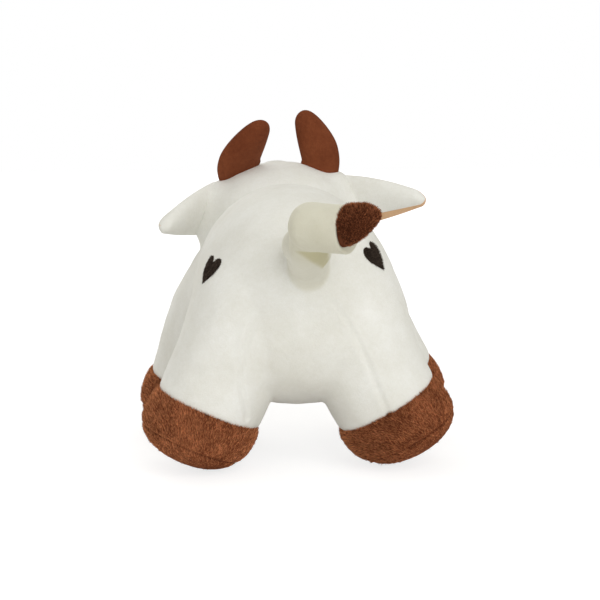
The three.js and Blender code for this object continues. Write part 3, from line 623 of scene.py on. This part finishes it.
def pile_tree():
    """Nodes that cover a skin with tapering strands, which lean along Lay and astray by Unrest."""
    tree = bpy.data.node_groups.new("pile", "GeometryNodeTree")
    tree.interface.new_socket("Geometry", in_out="OUTPUT", socket_type="NodeSocketGeometry")
    tree.interface.new_socket("Geometry", in_out="INPUT", socket_type="NodeSocketGeometry")
    kinds = {"Density": "Float", "Length": "Float", "Width": "Float", "Lay": "Vector", "Unrest": "Float"}
    for name, kind in {**kinds, "Clump": "Float", "Seed": "Int", "Material": "Material"}.items():
        tree.interface.new_socket(name, in_out="INPUT", socket_type=f"NodeSocket{kind}")
    given = tree.nodes.new("NodeGroupInput")
    value = {socket.name: Wire(tree, socket) for socket in given.outputs if socket.name}
    wire = Wire(tree)
    furred = wire.node("GeometryNodeInputNamedAttribute", {"Name": "furred"}, data_type="BOOLEAN")
    spread = dict(Mesh=value["Geometry"], Selection=furred, Density=value["Density"], Seed=value["Seed"])
    scatter = wire.node("GeometryNodeDistributePointsOnFaces", spread)
    swirl = wire.node("ShaderNodeTexNoise", {"Scale": value["Clump"], "Detail": 1.0}, output="Color")
    swirl = wire.node("ShaderNodeVectorMath", {0: swirl, 1: (0.5, 0.5, 0.5)}, operation="SUBTRACT")
    swirl = wire.node("ShaderNodeVectorMath", {0: swirl, "Scale": value["Unrest"]}, operation="SCALE")
    stray = {0: (-STRAND_STRAY,) * 3, 1: (STRAND_STRAY,) * 3}
    stray = wire.node("FunctionNodeRandomValue", stray, data_type="FLOAT_VECTOR")
    way = Wire(tree, scatter.socket.node.outputs["Normal"])
    for part in (swirl, stray, value["Lay"]):
        way = wire.node("ShaderNodeVectorMath", {0: way, 1: part}, operation="ADD")
    turn = wire.node("FunctionNodeAlignRotationToVector", {"Vector": way}, axis="Z")
    long, tone = (
        wire.node("FunctionNodeRandomValue", {2: low, 3: high, "Seed": seed}, output=1, data_type="FLOAT")
        for low, high, seed in ((*STRAND_LENGTHS, LENGTH_SEED), (0.0, 1.0, TONE_SEED))
    )
    size = dict(X=value["Width"], Y=value["Width"], Z=long * value["Length"])
    size = wire.node("ShaderNodeCombineXYZ", size)
    mark = dict(Geometry=scatter, Name="strand_tone", Value=tone)
    marked = wire.node("GeometryNodeStoreNamedAttribute", mark, data_type="FLOAT", domain="POINT")
    strand = {"Vertices": 3, "Side Segments": 1, "Radius Top": 0.0, "Radius Bottom": 0.5, "Depth": 1.0}
    strand = wire.node("GeometryNodeMeshCone", strand, fill_type="NGON")
    spot_z = wire.node("ShaderNodeSeparateXYZ", {0: wire.node("GeometryNodeInputPosition")}, output=2)
    bend = spot_z * spot_z
    curl = wire.node("ShaderNodeCombineXYZ", dict(X=bend * STRAND_CURL, Z=bend * STRAND_DROP))
    strand = wire.node("GeometryNodeSetPosition", {"Geometry": strand, "Offset": curl})
    grown = dict(Points=marked, Instance=strand, Rotation=turn, Scale=size)
    strands = wire.node("GeometryNodeInstanceOnPoints", grown)
    both = wire.node("GeometryNodeJoinGeometry")
    for geometry in (strands, value["Geometry"]):
        geometry.into(both.socket.node.inputs[0])
    whole = wire.node("GeometryNodeRealizeInstances", {0: both})
    whole = wire.node("GeometryNodeSetMaterial", {"Geometry": whole, "Material": value["Material"]})
    whole.into(tree.nodes.new("NodeGroupOutput").inputs[0])
    return tree


pile_nodes = pile_tree()


def with_pile(made, is_furred, **values):
    """Grows pile on a piece's chosen faces and keeps it as a plain mesh."""
    middles = rows_of(made.data.polygons, "center").astype(float)
    made.data.attributes.new("furred", "BOOLEAN", "FACE").data.foreach_set("value", is_furred(middles))
    modifier = made.modifiers.new("pile", "NODES")
    modifier.node_group = pile_nodes
    for socket in pile_nodes.interface.items_tree:
        if socket.in_out == "INPUT" and socket.name in values:
            modifier[socket.identifier] = values[socket.name]
    grown = made.evaluated_get(bpy.context.evaluated_depsgraph_get())
    mesh = bpy.data.meshes.new_from_object(grown)
    made.modifiers.remove(modifier)
    made.data = mesh
    places = rows_of(mesh.vertices, "co")
    places[:, 2] = np.maximum(places[:, 2], PILE_ON_FLOOR)
    mesh.vertices.foreach_set("co", places.ravel())
    mesh.shade_smooth()
    return made


def long_plush(name, shade, light):
    """Pile of loose strands, each of its own tone, in soft patches where it leans another way."""
    material, wire, shader = finish_of(name, PILE_ROUGHNESS, Specular_IOR_Level=PILE_SHINE)
    place = wire.node("ShaderNodeTexCoord", output="Object")
    tone = wire.node("ShaderNodeAttribute", attribute_name="strand_tone", output="Fac")
    tufts, patches = wire.speckle(place, *TUFTS), wire.speckle(place, *PATCHES)
    lean = tone * TONE_LIGHT + tufts * TUFTS_LIGHT + patches * PATCHES_LIGHT - LIGHT_START
    wire.mix(lean, shade, light).into(shader.inputs["Base Color"])
    return material


brown_plush = long_plush("brown_plush", BROWN_SHADE, BROWN_LIGHT)
hoof_end = LEG_LENGTH + HOOF_LENGTH
for name, leg in legs.items():
    downs = np.linspace(LEG_LENGTH + SEAM_GAP / 2, hoof_end, CAP_ROWS)
    walls = list(zip(leg_radius(downs) + CAP_LIFT, downs))
    top, rim = walls[0], walls[-1]
    cap = [(0, top[1]), (top[0] - CAP_TURN_IN, top[1]), *walls, (rim[0] - CAP_TURN_IN, rim[1]), (0, rim[1])]
    sole_start = hoof_end + SEAM_GAP
    downs = sole_start + (HOOF_BOTTOM - sole_start) * np.sin(np.linspace(0, np.pi / 2, DOME_ROWS))
    sole = zip(leg_radius(downs[:-1]) + CAP_LIFT, downs)
    sole = [(0, sole_start), (rim[0] - CAP_TURN_IN, sole_start), *sole, (0, HOOF_BOTTOM)]
    for node, profile in ((f"hoof_{name}", cap), (f"sole_{name}", sole)):
        points, faces = lathed(leg, profile)
        points[:, 2] = np.maximum(points[:, 2], PILE_ON_FLOOR)
        made = piece(f"{node}_plush", points, faces, brown_plush)

        def on_cap(p, leg=leg, node=node):
            across, down, depth = leg.own(p)
            outside = np.hypot(across, depth) > leg_radius(down) - CAP_TURN_IN / 2
            clear = np.abs(down - hoof_end) > SEAM_PARTING
            if node.startswith("sole"):
                outside = down > sole_start + SEAM_GAP
            return outside & clear & (p[:, 2] > FLOOR_CLEAR)

        with_pile(made, on_cap, **HOOF_PILE, Lay=tuple(leg.down * -PILE_LAY), Material=brown_plush)
        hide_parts(node)
        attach(made, "torso")

# Hearts: two small patches of dark short pile, sewn on the flanks.
HEART_HALF_WIDTH, HEART_HEIGHT = 10.4 * MM, 21 * MM
HEART_PLACES = {"left": (1, 67.5, 28), "right": (-1, 57, 36)}  # side, degrees from the top and backwards
HALF_CURVE_SHARES = [(0, -0.5), (0.7, -0.2), (1, 0), (1, 0.22), (1, 0.52), (0.3, 0.62), (0, 0.26)]
HEART_CURVE_SHARES = [*HALF_CURVE_SHARES, *[(-x, y) for x, y in HALF_CURVE_SHARES[-2::-1]]]
PATCH_HEIGHT = 0.9 * MM
PATCH_SINK = 1.2 * MM
PATCH_RINGS = 9
PATCH_POWER = 6  # how flat it is, with a round edge
FLANK_STEP = 0.01  # in radians
HEART_PILE = dict(Density=3.2e6, Length=1.3 * MM, Width=0.45 * MM, Unrest=1.5, Clump=250.0, Seed=3)
HEART_LAY = (0, 0, -0.7)
DARK_SHADE, DARK_LIGHT = (0.028, 0.020, 0.0155), (0.14, 0.103, 0.081)


def curve_through(shares, width, height, steps=16):
    """Points along a closed outline made of cubic curves."""
    knots = np.array(shares) * (width, height)
    t = np.linspace(0, 1, steps, endpoint=False)[:, None]
    parts = []
    for i in range(0, len(knots) - 1, 3):
        a, b, c, d = knots[i : i + 4]
        parts.append((1 - t) ** 3 * a + 3 * (1 - t) ** 2 * t * b + 3 * (1 - t) * t**2 * c + t**3 * d)
    return np.concatenate(parts)


def landed(distance, p, way, height, rounds=8):
    """Points moved along one way until they stand at a height over a form."""
    for _ in range(rounds):
        slope = np.minimum(slopes(distance, p) @ way, -LEAST_SLOPE)
        p = p - np.multiply.outer((distance(p) - height) / slope, way)
    return p


def patch(name, distance, outline, middle, across, up, material):
    """A thin domed patch with a flat outline, laid on a form."""
    inwards = np.cross(up, across)
    shares = np.sin(np.linspace(0, np.pi / 2, PATCH_RINGS + 1))[1:]
    flat = np.concatenate([outline * share for share in shares])
    flat = np.concatenate([np.zeros((1, 2)), flat])
    lifts = np.repeat((1 - shares**PATCH_POWER) ** 0.5, len(outline))
    lifts = np.concatenate([[1], lifts]) * PATCH_HEIGHT
    start = middle + np.multiply.outer(flat[:, 0], across) + np.multiply.outer(flat[:, 1], up)
    front = landed(distance, start, inwards, lifts)
    under = landed(distance, start, inwards, -PATCH_SINK)
    rings = np.concatenate([front[1:], under[-len(outline) :]]).reshape(-1, len(outline), 3)
    return piece(name, *ringed(front[0], rings, under[0]), material)


def flank_place(side, turn, latitude):
    """A place on a flank, the way up the flank and the way back along it."""
    def at(turn, latitude):
        egg, (along, power, _) = body_egg, BODY_POWERS
        wide = math.cos(latitude) ** (2 / along)
        return egg.centre + np.array((
            side * egg.half_width * wide * math.sin(turn) ** (2 / power),
            egg.back * math.sin(latitude) ** (2 / along),
            egg.above * wide * math.cos(turn) ** (2 / power),
        ))

    turn, latitude = math.radians(turn), math.radians(latitude)
    up = at(turn - FLANK_STEP, latitude) - at(turn + FLANK_STEP, latitude)
    back = at(turn, latitude + FLANK_STEP) - at(turn, latitude - FLANK_STEP)
    return at(turn, latitude), unit(up), unit(back)


dark_pile = long_plush("dark_pile", DARK_SHADE, DARK_LIGHT)
heart_outline = curve_through(HEART_CURVE_SHARES, HEART_HALF_WIDTH, HEART_HEIGHT)
for hand, (side, turn, latitude) in HEART_PLACES.items():
    middle, up, back = flank_place(side, turn, latitude)
    across = side * back
    across = unit(across - up * (across @ up))
    heart = patch(f"heart_{hand}", body_distance, heart_outline, middle, across, up, dark_pile)
    with_pile(heart, lambda p: body_distance(p) > 0, **HEART_PILE, Lay=HEART_LAY, Material=dark_pile)
    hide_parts(f"heart_patch_{hand}")
    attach(heart, "torso")

# Tail: a stuffed tube of the same cloth, turned right side out and gathered where its root is sewn in. It
# rises and turns to the toy's right, with painted shade on it. Its end is a cap of brown plush, darker than
# the hooves' as painted shade, folded in on its lower side.
TAIL_RADIUS = 15.7 * MM
TAIL_REACH = 96  # from the joint to the tip, in mm
TAIL_PATH_SHARES = [
    (0, 0, 0), (-0.01, 0.21, 0.19), (-0.06, 0.41, 0.28), (-0.22, 0.56, 0.268), (-0.42, 0.67, 0.385),
]
TAIL_TIP_SHARE, TAIL_SAMPLES = 0.72, 240
TAIL_ELBOW_SHARE = (0.015, 0.38, 0.27)
TAIL_ROOT_RADIUS = 13.8 * MM
TAIL_CELL, TAIL_ROOM = 1.1 * MM, 6.6 * MM
TAIL_RUN_ON = 1.6  # how far each length runs on past its end, as a share, before the cloth is cut
FOLD_REACH, ELBOW_OVERLAP = 1 * MM, 1 * MM
TIP_GAP, TAIL_END_ROUND = 0.5 * MM, 1.5 * MM  # at the cap's seam
TAIL_SHADE_EDGES = (14 * MM, 34 * MM)  # where the painted shade goes from the root's share to the tube's, from the root
# The cap's browns: a darker copy of the hooves' browns, as painted shade
TIP_SHADE, TIP_LIGHT = (0.08, 0.022, 0.009), (0.58, 0.21, 0.095)
TIP_PILE = {**HOOF_PILE, "Length": 2.4 * MM, "Unrest": 2.0, "Seed": 4}
TIP_ROUND, TIP_TAPER = 14 * MM, 0.15
CAP_ROUND, TIP_FOLD_ROUND = 2.2 * MM, 5 * MM
CAP_CELL, CAP_ROOM = 1 * MM, 14 * MM
TIP_FOLD, TIP_FOLD_WAY = (-26.8, 146, 175.6), (-0.66, -0.07, -0.745)  # where its lower side is folded in
TAIL_LUMPS = (16 * MM, 0.6 * MM)
TAIL_SHADE = 0.52  # painted shade over the tube

tail_knots = [tail_joint + np.array(share) * TAIL_REACH * MM for share in TAIL_PATH_SHARES]
tail_line = smooth_path(tail_knots, TAIL_SAMPLES)
tail_seam = tail_line[int(TAIL_TIP_SHARE * TAIL_SAMPLES)]
tail_turn = unit(tail_line[int(TAIL_TIP_SHARE * TAIL_SAMPLES) + 2] - tail_seam)
tip_fold_way = unit(TIP_FOLD_WAY)
elbow = tail_joint + np.array(TAIL_ELBOW_SHARE) * TAIL_REACH * MM


def tail_distance(p):
    """Two stuffed lengths that meet in a fold, ended at the brown cap's seam."""
    forms = []
    for start, end, radius in ((tail_joint, elbow, TAIL_ROOT_RADIUS), (elbow, tail_seam, TAIL_RADIUS)):
        way = end - start
        share = np.clip((p - start) @ way / (way @ way), 0, TAIL_RUN_ON)
        forms.append(rod(p - start, way, share, radius))
    first = np.maximum(forms[0], (p - elbow) @ unit(elbow - tail_joint) - ELBOW_OVERLAP)
    first = np.minimum(first, lengths(p - elbow) - TAIL_ROOT_RADIUS)
    before_seam = TIP_GAP - (p - tail_seam) @ tail_turn
    return carve(melt(first, forms[1], FOLD_REACH), before_seam, TAIL_END_ROUND)


tail_corners = np.array([corner for node in ("tail", "tail_base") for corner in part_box(node)])
tail_low, tail_high = tail_corners.min(0) - TAIL_ROOM, tail_corners.max(0) + TAIL_ROOM
points, faces = covered(tail_distance, tail_low, tail_high, TAIL_CELL)
tail_cloth = uneven(piece("tail_cloth", points, faces, cream_plush), *TAIL_LUMPS)
# Painted shade on the tail: the root's share near the joint, the tube's further on, and the fold under the
# elbow
from_root = lengths(points - tail_joint)
shade_shares = TAIL_SHADE + (STUB_SHADE - TAIL_SHADE) * (1 - steps_up(from_root, *TAIL_SHADE_EDGES))
paint_shade(tail_cloth, np.maximum(shade_shares, fold_shade(points)))
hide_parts("tail")
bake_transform(tail_cloth)

tip_long = np.linalg.norm(tail_line[-1] - tail_seam)
tail_lay = unit(tail_line[-1] - tail_seam)


def cap_distance(p):
    """The tube's end with a round tip, folded in on its lower side."""
    q = p - tail_seam
    along = q @ tail_turn
    straight = tip_long - TIP_ROUND
    tube = rod(q, tail_turn, np.clip(along, 0, straight), TAIL_RADIUS)
    tube = tube + np.clip(along - straight, 0, None) * TIP_TAPER
    tube = carve(tube, along - TIP_GAP, CAP_ROUND)
    return carve(tube, (spot(*TIP_FOLD) - p) @ tip_fold_way, TIP_FOLD_ROUND)


cap_low, cap_high = np.array(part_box("tail_tip"))
points, faces = covered(cap_distance, cap_low - CAP_ROOM, cap_high + CAP_ROOM, CAP_CELL)
shaded_tip_plush = long_plush("shaded_tip_plush", TIP_SHADE, TIP_LIGHT)
tail_cap = piece("tail_cap", points, faces, shaded_tip_plush)


def past_seam(p):
    return (p - tail_seam) @ tail_lay > TIP_GAP


with_pile(tail_cap, past_seam, **TIP_PILE, Lay=tail_lay, Material=shaded_tip_plush)
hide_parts("tail_tip")
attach(tail_cap, "tail")

# Head cloth: a rounder ball of the same cream cloth and filling, sewn to the body's front round the neck.
# The horns and ears are sewn into it, and it swells out along each ear's sewn edge.
HEAD_CELL = 1.7 * MM
NECK_START, NECK_END = spot(0, -58, 130), spot(0, -86, 130)
EAR_SLOPES = {"left": math.radians(20), "right": math.radians(26)}  # of each ear's sewn edge
EAR_SEAT_RADIUS, EAR_SEAT_REACH, EAR_SEAT_INWARDS = 6.5 * MM, 16 * MM, 5 * MM
EAR_SEATS = {"left": (-13.5 * MM, 10 * MM), "right": (-14 * MM, 21 * MM)}  # from its middle along its edge
HEAD_ROOM, HEAD_ROUND = 4 * HEAD_CELL, 2 * MM
HANDS = {"left": 1, "right": -1}


def ear_edge(hand, side=1):
    """The way along an ear's sewn edge."""
    return np.array((-side * math.sin(EAR_SLOPES[hand]), 0, math.cos(EAR_SLOPES[hand])))


def head_distance(p):
    share = steps_up(-(p[:, 1]), -NECK_START[1], -NECK_END[1])
    angles = [angle * share for angle in (-NOD, -NOD / 2, 0, NOD / 2, NOD)]
    pressed = np.min([body_egg.distance(leaning(nodded(p, angle))) for angle in angles], axis=0)
    form = head_egg.distance(p)
    for hand, side in HANDS.items():
        edge = ear_edge(hand, side)
        q = p - pivots[f"ear_{hand}_flap"] + np.array((side * EAR_SEAT_INWARDS, 0, 0))
        seat = rod(q, edge, np.clip(q @ edge, *EAR_SEATS[hand]), EAR_SEAT_RADIUS)
        form = melt(form, seat, EAR_SEAT_REACH)
    return carve(form, pressed - SEAM_GAP, HEAD_ROUND)


reach = head_egg.above + HEAD_ROOM
points, faces = covered(head_distance, head_egg.centre - reach, head_egg.centre + reach, HEAD_CELL)
head_cloth = uneven(piece("head_cloth", points, faces, cream_plush), *BODY_LUMPS)
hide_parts("head_skin", "head_filling")
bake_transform(head_cloth)
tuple(NECK_START)
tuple(NECK_END)

# Muzzle, forelock and nostrils: a small stuffed pad of tan plush and a cream one between the horns, sewn
# down round their edges, and two dark ovals sewn on the muzzle.
TAN = dict(shade=(0.62, 0.36, 0.19), light=(0.78, 0.51, 0.31), tint=(1, 0.95, 0.88))
MUZZLE_MIDDLE, MUZZLE_POWERS = (0, -147, 117), (2.3, 2.3, 2.3)
MUZZLE_SIZES = (43 * MM, 26 * MM, 25 * MM, 27 * MM, 27 * MM)  # half its width, above, below, front, back
LOCK_SIZES = (17 * MM, 12 * MM, 12 * MM, 18 * MM, 18 * MM)
PAD_CELL, PAD_SINK, PAD_ROUND, PAD_ROOM_SHARE = 1.3 * MM, 1.5 * MM, 1 * MM, 1.2
NOSTRIL_HALF_WIDTH, NOSTRIL_HALF_HEIGHT, NOSTRIL_AROUND = 4.2 * MM, 6.2 * MM, 40
muzzle_egg = Egg(spot(*MUZZLE_MIDDLE), *MUZZLE_SIZES, MUZZLE_POWERS)
lock_low, lock_high = np.array(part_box("forelock"))
lock_middle = (*(lock_low + lock_high)[:2] / 2, lock_high[2] - LOCK_SIZES[1])
lock_egg = Egg(lock_middle, *LOCK_SIZES, HEAD_POWERS)
tan_plush = plush("tan_plush", **TAN, **SHORT_PILE)
for node, egg, material, slot in (
    ("muzzle", muzzle_egg, tan_plush, "tan_plush"),
    ("forelock", lock_egg, cream_plush, "cream_plush"),
):
    def pad_distance(p, egg=egg):
        return carve(egg.distance(p), head_egg.distance(p) + PAD_SINK, PAD_ROUND)

    reach = egg.half_width * PAD_ROOM_SHARE
    points, faces = covered(pad_distance, egg.centre - reach, egg.centre + reach, PAD_CELL)
    pad = piece(f"{node}_pad", points, faces, material)
    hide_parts(node)
    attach(pad, "head")

turns = turns_of(NOSTRIL_AROUND)
oval = np.stack((NOSTRIL_HALF_WIDTH * np.cos(turns), NOSTRIL_HALF_HEIGHT * np.sin(turns)), 1)
across, _, up = np.eye(3)
for hand in HANDS:
    middle = np.mean(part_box(f"nostril_{hand}"), axis=0)
    nostril = patch(f"nostril_patch_{hand}", muzzle_egg.distance, oval, middle, across, up, dark_pile)
    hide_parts(f"nostril_{hand}")
    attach(nostril, "head")

# Horns and ears: leaves sewn from two flat panels and stuffed, so that each is a lens with a seam round its
# edge. The horns are brown. The ears have cream backs and tan linings.
HORN = dict(shade=(0.115, 0.026, 0.0088), light=(0.232, 0.066, 0.0255), tint=(1, 0.7, 0.5))
HORN_PILE = dict(tuft=0.8 * MM, height=0.4 * MM, sheen=0.03)
LEAF_ROWS, LEAF_AROUND = 46, 48
LEAF_LENS_POWER = 1.25
# Length, half width at the root and the tip, swell, half thickness and how far the root rolls back, in mm
HORNS = {"left": (38, 18, 17.3, 4, 7.5, 6), "right": (37, 15.5, 14.5, 4, 7.5, 6)}
EARS = {"left": (53, 22, 5.5, 2, 6.5, 5.5), "right": (55, 22, 5.5, 2, 6.5, 5.5)}
HORN_SHIFTS = {"left": 0, "right": 1.7 * MM}  # how far each stands to the toy's left of its seam's middle
EAR_RISES = {"left": -1.5 * MM, "right": 5 * MM}  # each ear's middle above its seam's
HORN_LIES = {"left": (22, 14, 40), "right": (28, 11, 10)}  # lean, curl and tilt, in degrees
HORN_SLOPE = math.radians(27)
EAR_LIES = {"left": (15, 6, 56), "right": (14.5, 6, 26)}  # droop, curl and sweep, in degrees
EAR_WRAPS = {"left": (22, 26), "right": (-50, 14)}  # how far the back turns over the lower and upper edges
EAR_TIP_WRAPS = {"left": 62, "right": 0}  # and further towards the tip
TIP_WRAP_SHARES = (0.5, 0.95)  # of the length


def leaf(sizes, lean, curl, start=-180, end=180, wrap=0):
    """A leaf that grows along Y from a round root along X, between two angles of its section.

    Towards the tip, wrap degrees are added at both angles.
    """
    length, root, tip, widening, thick, roll = sizes
    alongs = -roll + (length + roll) * (1 - np.cos(np.linspace(0, np.pi, LEAF_ROWS + 1)[1:-1])) / 2
    share = np.clip(alongs / length, 0, 1)
    root_round = np.where(alongs < 0, np.sqrt(np.clip(1 - (alongs / roll) ** 2, 0, 1)), 1)
    past_tip = np.clip(alongs - length + tip, 0, None) / tip
    tip_round = np.sqrt(np.clip(1 - past_tip**2, 0, 1))
    swell = np.sin(np.pi * share)
    half_width = root + (tip - root) * share + widening * swell
    half_width = half_width * np.where(alongs < 0, (2 + root_round) / 3, tip_round)
    half_thick = (roll + (thick - roll) * swell) * root_round * tip_round
    lean, curl = math.tan(math.radians(lean)), math.tan(math.radians(curl))
    middle = -length * (lean * share + curl * share**2)
    turns = np.linspace(-1, 1, LEAF_AROUND + 1)
    turns = turns[:-1] if end - start == 360 else turns
    wraps = wrap * steps_up(share, *TIP_WRAP_SHARES)
    angles = np.radians((start + end) / 2 + np.multiply.outer((end - start) / 2 + wraps, turns))
    lens = np.sign(np.cos(angles)) * np.abs(np.cos(angles)) ** LEAF_LENS_POWER
    x = middle[:, None] + half_width[:, None] * np.sin(angles)
    z = half_thick[:, None] * lens
    rings = np.stack((x, np.broadcast_to(alongs[:, None], x.shape), z), -1)
    points, faces = ringed((0, -roll, 0), rings, (-length * (lean + curl), length, 0))
    return points * MM, faces


def leaf_placed(points, faces, root, edge, outward, side):
    """A leaf laid with its X along its sewn edge, mirrored for the toy's right."""
    across = unit(edge)
    long = unit(outward - across * (outward @ across))
    out = np.cross(across, long)
    placed = points[:, :1] * across + points[:, 1:2] * long + points[:, 2:] * out
    if side < 0:
        placed, faces = placed * (-1, 1, 1), [face[::-1] for face in faces]
    return placed + root, faces


horn_plush = plush("horn_plush", **HORN, **HORN_PILE)
for hand, side in HANDS.items():
    lean, curl, tilt = HORN_LIES[hand]
    edge = np.array((math.cos(HORN_SLOPE), 0, -math.sin(HORN_SLOPE)))
    outward = np.array((math.sin(HORN_SLOPE), math.tan(math.radians(tilt)), math.cos(HORN_SLOPE)))
    root = pivots[f"horn_{hand}_flex"] + np.array((HORN_SHIFTS[hand], 0, 0))
    points, faces = leaf_placed(*leaf(HORNS[hand], lean, curl), root, edge, outward, side)
    horn = piece(f"horn_{hand}_leaf", points, faces, horn_plush)
    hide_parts(f"horn_{hand}")
    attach(horn, f"horn_{hand}")
    droop, curl, sweep = EAR_LIES[hand]
    sweep = math.radians(sweep)
    edge = ear_edge(hand)
    outward = np.array((math.cos(sweep), math.sin(sweep), 0))
    root = pivots[f"ear_{hand}_flap"] + edge * (side, 1, 1) * EAR_RISES[hand]
    low_wrap, high_wrap = EAR_WRAPS[hand]
    tip_wrap = EAR_TIP_WRAPS[hand]
    for node, start, end, wrap, material, slot in (
        (f"ear_{hand}", -90 - low_wrap, 90 + high_wrap, tip_wrap, cream_plush, "cream_plush"),
        (f"ear_lining_{hand}", 90 + high_wrap, 270 - low_wrap, -tip_wrap, tan_plush, "tan_plush"),
    ):
        panel = leaf(EARS[hand], droop, curl, start, end, wrap)
        points, faces = leaf_placed(*panel, root, edge, outward, side)
        panel = piece(f"{node}_panel", points, faces, material)
        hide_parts(node)
        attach(panel, f"ear_{hand}")

# Eyes: domes of black plastic, each moulded with a stem that goes through the cloth, and a white lock
# washer on it.
EYE_SPREAD, EYE_FROM, EYE_LEVEL = 31, -170, 154  # from the toy's middle, in mm, before they are pushed in
EYE_RADIUS, EYE_DOME, EYE_RIM, EYE_SINK = 7.5 * MM, 5 * MM, 1 * MM, 2 * MM
STEM_RADIUS, STEM_LENGTH = 2 * MM, 10 * MM
EYE_FOOT_SHARE = 0.97  # its foot's radius, of its rim's
EYE_ROWS, EYE_AROUND = 20, 48
EYE_FINISH = dict(roughness=0.12, Coat_Weight=0.6, Base_Color=(0.006, 0.005, 0.005, 1))
WASHER_FINISH = dict(roughness=0.5, Base_Color=(0.8, 0.8, 0.77, 1))
eye_gloss, *_ = finish_of("eye_gloss", **EYE_FINISH)
washer_white, *_ = finish_of("washer_white", **WASHER_FINISH)
turns = turns_of(EYE_AROUND)
arc = np.linspace(0, np.pi / 2, EYE_ROWS)
stem_radii, stem_heights = [STEM_RADIUS, STEM_RADIUS], [-STEM_LENGTH, -EYE_SINK]
radii = np.concatenate([stem_radii, [EYE_RADIUS * EYE_FOOT_SHARE], EYE_RADIUS * np.cos(arc[:-1])])
heights = np.concatenate([stem_heights, [-EYE_SINK], EYE_RIM + EYE_DOME * np.sin(arc[:-1])])
for hand, side in HANDS.items():
    start = spot(side * EYE_SPREAD, EYE_FROM, EYE_LEVEL)[None]
    at_eye = landed(head_egg.distance, start, np.array((0.0, 1.0, 0.0)), 0)
    out = unit(slopes(head_egg.distance, at_eye)[0])
    across = unit(np.cross((0.0, 0.0, 1.0), out))
    up = np.cross(out, across)
    ring = np.multiply.outer(np.cos(turns), across) + np.multiply.outer(np.sin(turns), up)
    rings = at_eye[0] + radii[:, None, None] * ring + heights[:, None, None] * out
    first, last = (at_eye[0] + height * out for height in (-STEM_LENGTH, EYE_RIM + EYE_DOME))
    eye = piece(f"eye_{hand}_dome", *ringed(first, rings, last), eye_gloss)
    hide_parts(f"eye_{hand}")
    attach(eye, "head")
    washer = frame["nodes"][f"eye_washer_{hand}"]
    washer.data.materials.clear()
    washer.data.materials.append(washer_white)

# Stage: a pale floor, a white backdrop colour for the camera, plain soft studio light, and the camera.
CAMERA_AZIMUTH, CAMERA_ELEVATION = math.radians(174), math.radians(8)
CAMERA_DISTANCE = 1.2
CAMERA_TARGET = Vector((0, 0, 0.118))
CAMERA_LENS = 98.64
CAMERA_SHIFTS = (2 / 600, -10 / 600)  # of the picture's width
scene = bpy.context.scene


def stood(name, data, place, back):
    """A camera or lamp at a place, with its back to a way."""
    made = bpy.data.objects.new(name, data)
    made.location, made.rotation_mode = place, "QUATERNION"
    made.rotation_quaternion = back.to_track_quat("Z", "Y")
    scene.collection.objects.link(made)
    return made


scene.view_settings.view_transform = "Standard"
camera_data = bpy.data.cameras.new("camera")
camera_data.lens = CAMERA_LENS
camera_data.shift_x, camera_data.shift_y = CAMERA_SHIFTS
back = Vector((
    math.sin(CAMERA_AZIMUTH) * math.cos(CAMERA_ELEVATION),
    -math.cos(CAMERA_AZIMUTH) * math.cos(CAMERA_ELEVATION),
    math.sin(CAMERA_ELEVATION),
))
scene.camera = stood("camera", camera_data, CAMERA_TARGET + back * CAMERA_DISTANCE, back)

FLOOR_FINISH = dict(roughness=0.9, Base_Color=(0.9, 0.9, 0.9, 1))
FLOOR_GLOW = 1.3  # the camera sees the floor turn to white by this glow, from near the toy outwards
FLOOR_FADE = {1: 0.25, 2: 0.7, 3: 0.6, 4: 1.0}  # metres from the toy, and the glow's shares there
floor_material, wire, shader = finish_of("floor", **FLOOR_FINISH)
white = wire.node("ShaderNodeEmission", {"Color": (1, 1, 1, 1), "Strength": FLOOR_GLOW})
place = wire.node("ShaderNodeTexCoord", output="Object")
away = wire.node("ShaderNodeVectorMath", {0: place}, output="Value", operation="LENGTH")
far = wire.node("ShaderNodeMapRange", {0: away, **FLOOR_FADE}, interpolation_type="SMOOTHSTEP")
seen = wire.node("ShaderNodeLightPath", output="Is Camera Ray") * far
mixed = wire.node("ShaderNodeMixShader", {0: seen, 1: Wire(wire.tree, shader.outputs[0]), 2: white})
mixed.into(wire.tree.nodes["Material Output"].inputs["Surface"])
corners = np.array(((-3.0, -3, 0), (3, -3, 0), (3, 3, 0), (-3, 3, 0)))
floor = piece("floor", corners, [(0, 1, 2, 3)], floor_material, smooth=False)

AMBIENT = 0.45
AMBIENT_COLOUR = (1.0, 0.975, 0.88)
world = bpy.data.worlds.new("studio")
scene.world = world
world.use_nodes = True
room = Wire(world.node_tree)
background = world.node_tree.nodes["Background"]
seen = room.node("ShaderNodeLightPath", output="Is Camera Ray")
(seen * (1 - AMBIENT) + AMBIENT).into(background.inputs["Strength"])
room.mix(seen, AMBIENT_COLOUR, (1, 1, 1)).into(background.inputs["Color"])

LAMPS = {  # place in metres, size, watts
    "key": ((-0.6, 1.56, 1.15), 1.6, 17),
    "fill": ((1.1, 1.3, 0.6), 1.2, 3),
    "top": ((0.0, 0.0, 1.7), 1.4, 2.5),
    "front": ((0.6, -1.6, 0.8), 1.2, 12),
}
for name, (place, size, watts) in LAMPS.items():
    lamp_data = bpy.data.lights.new(name, "AREA")
    lamp_data.shape, lamp_data.size, lamp_data.energy = "DISK", size, watts
    stood(name, lamp_data, place, Vector(place) - CAMERA_TARGET)
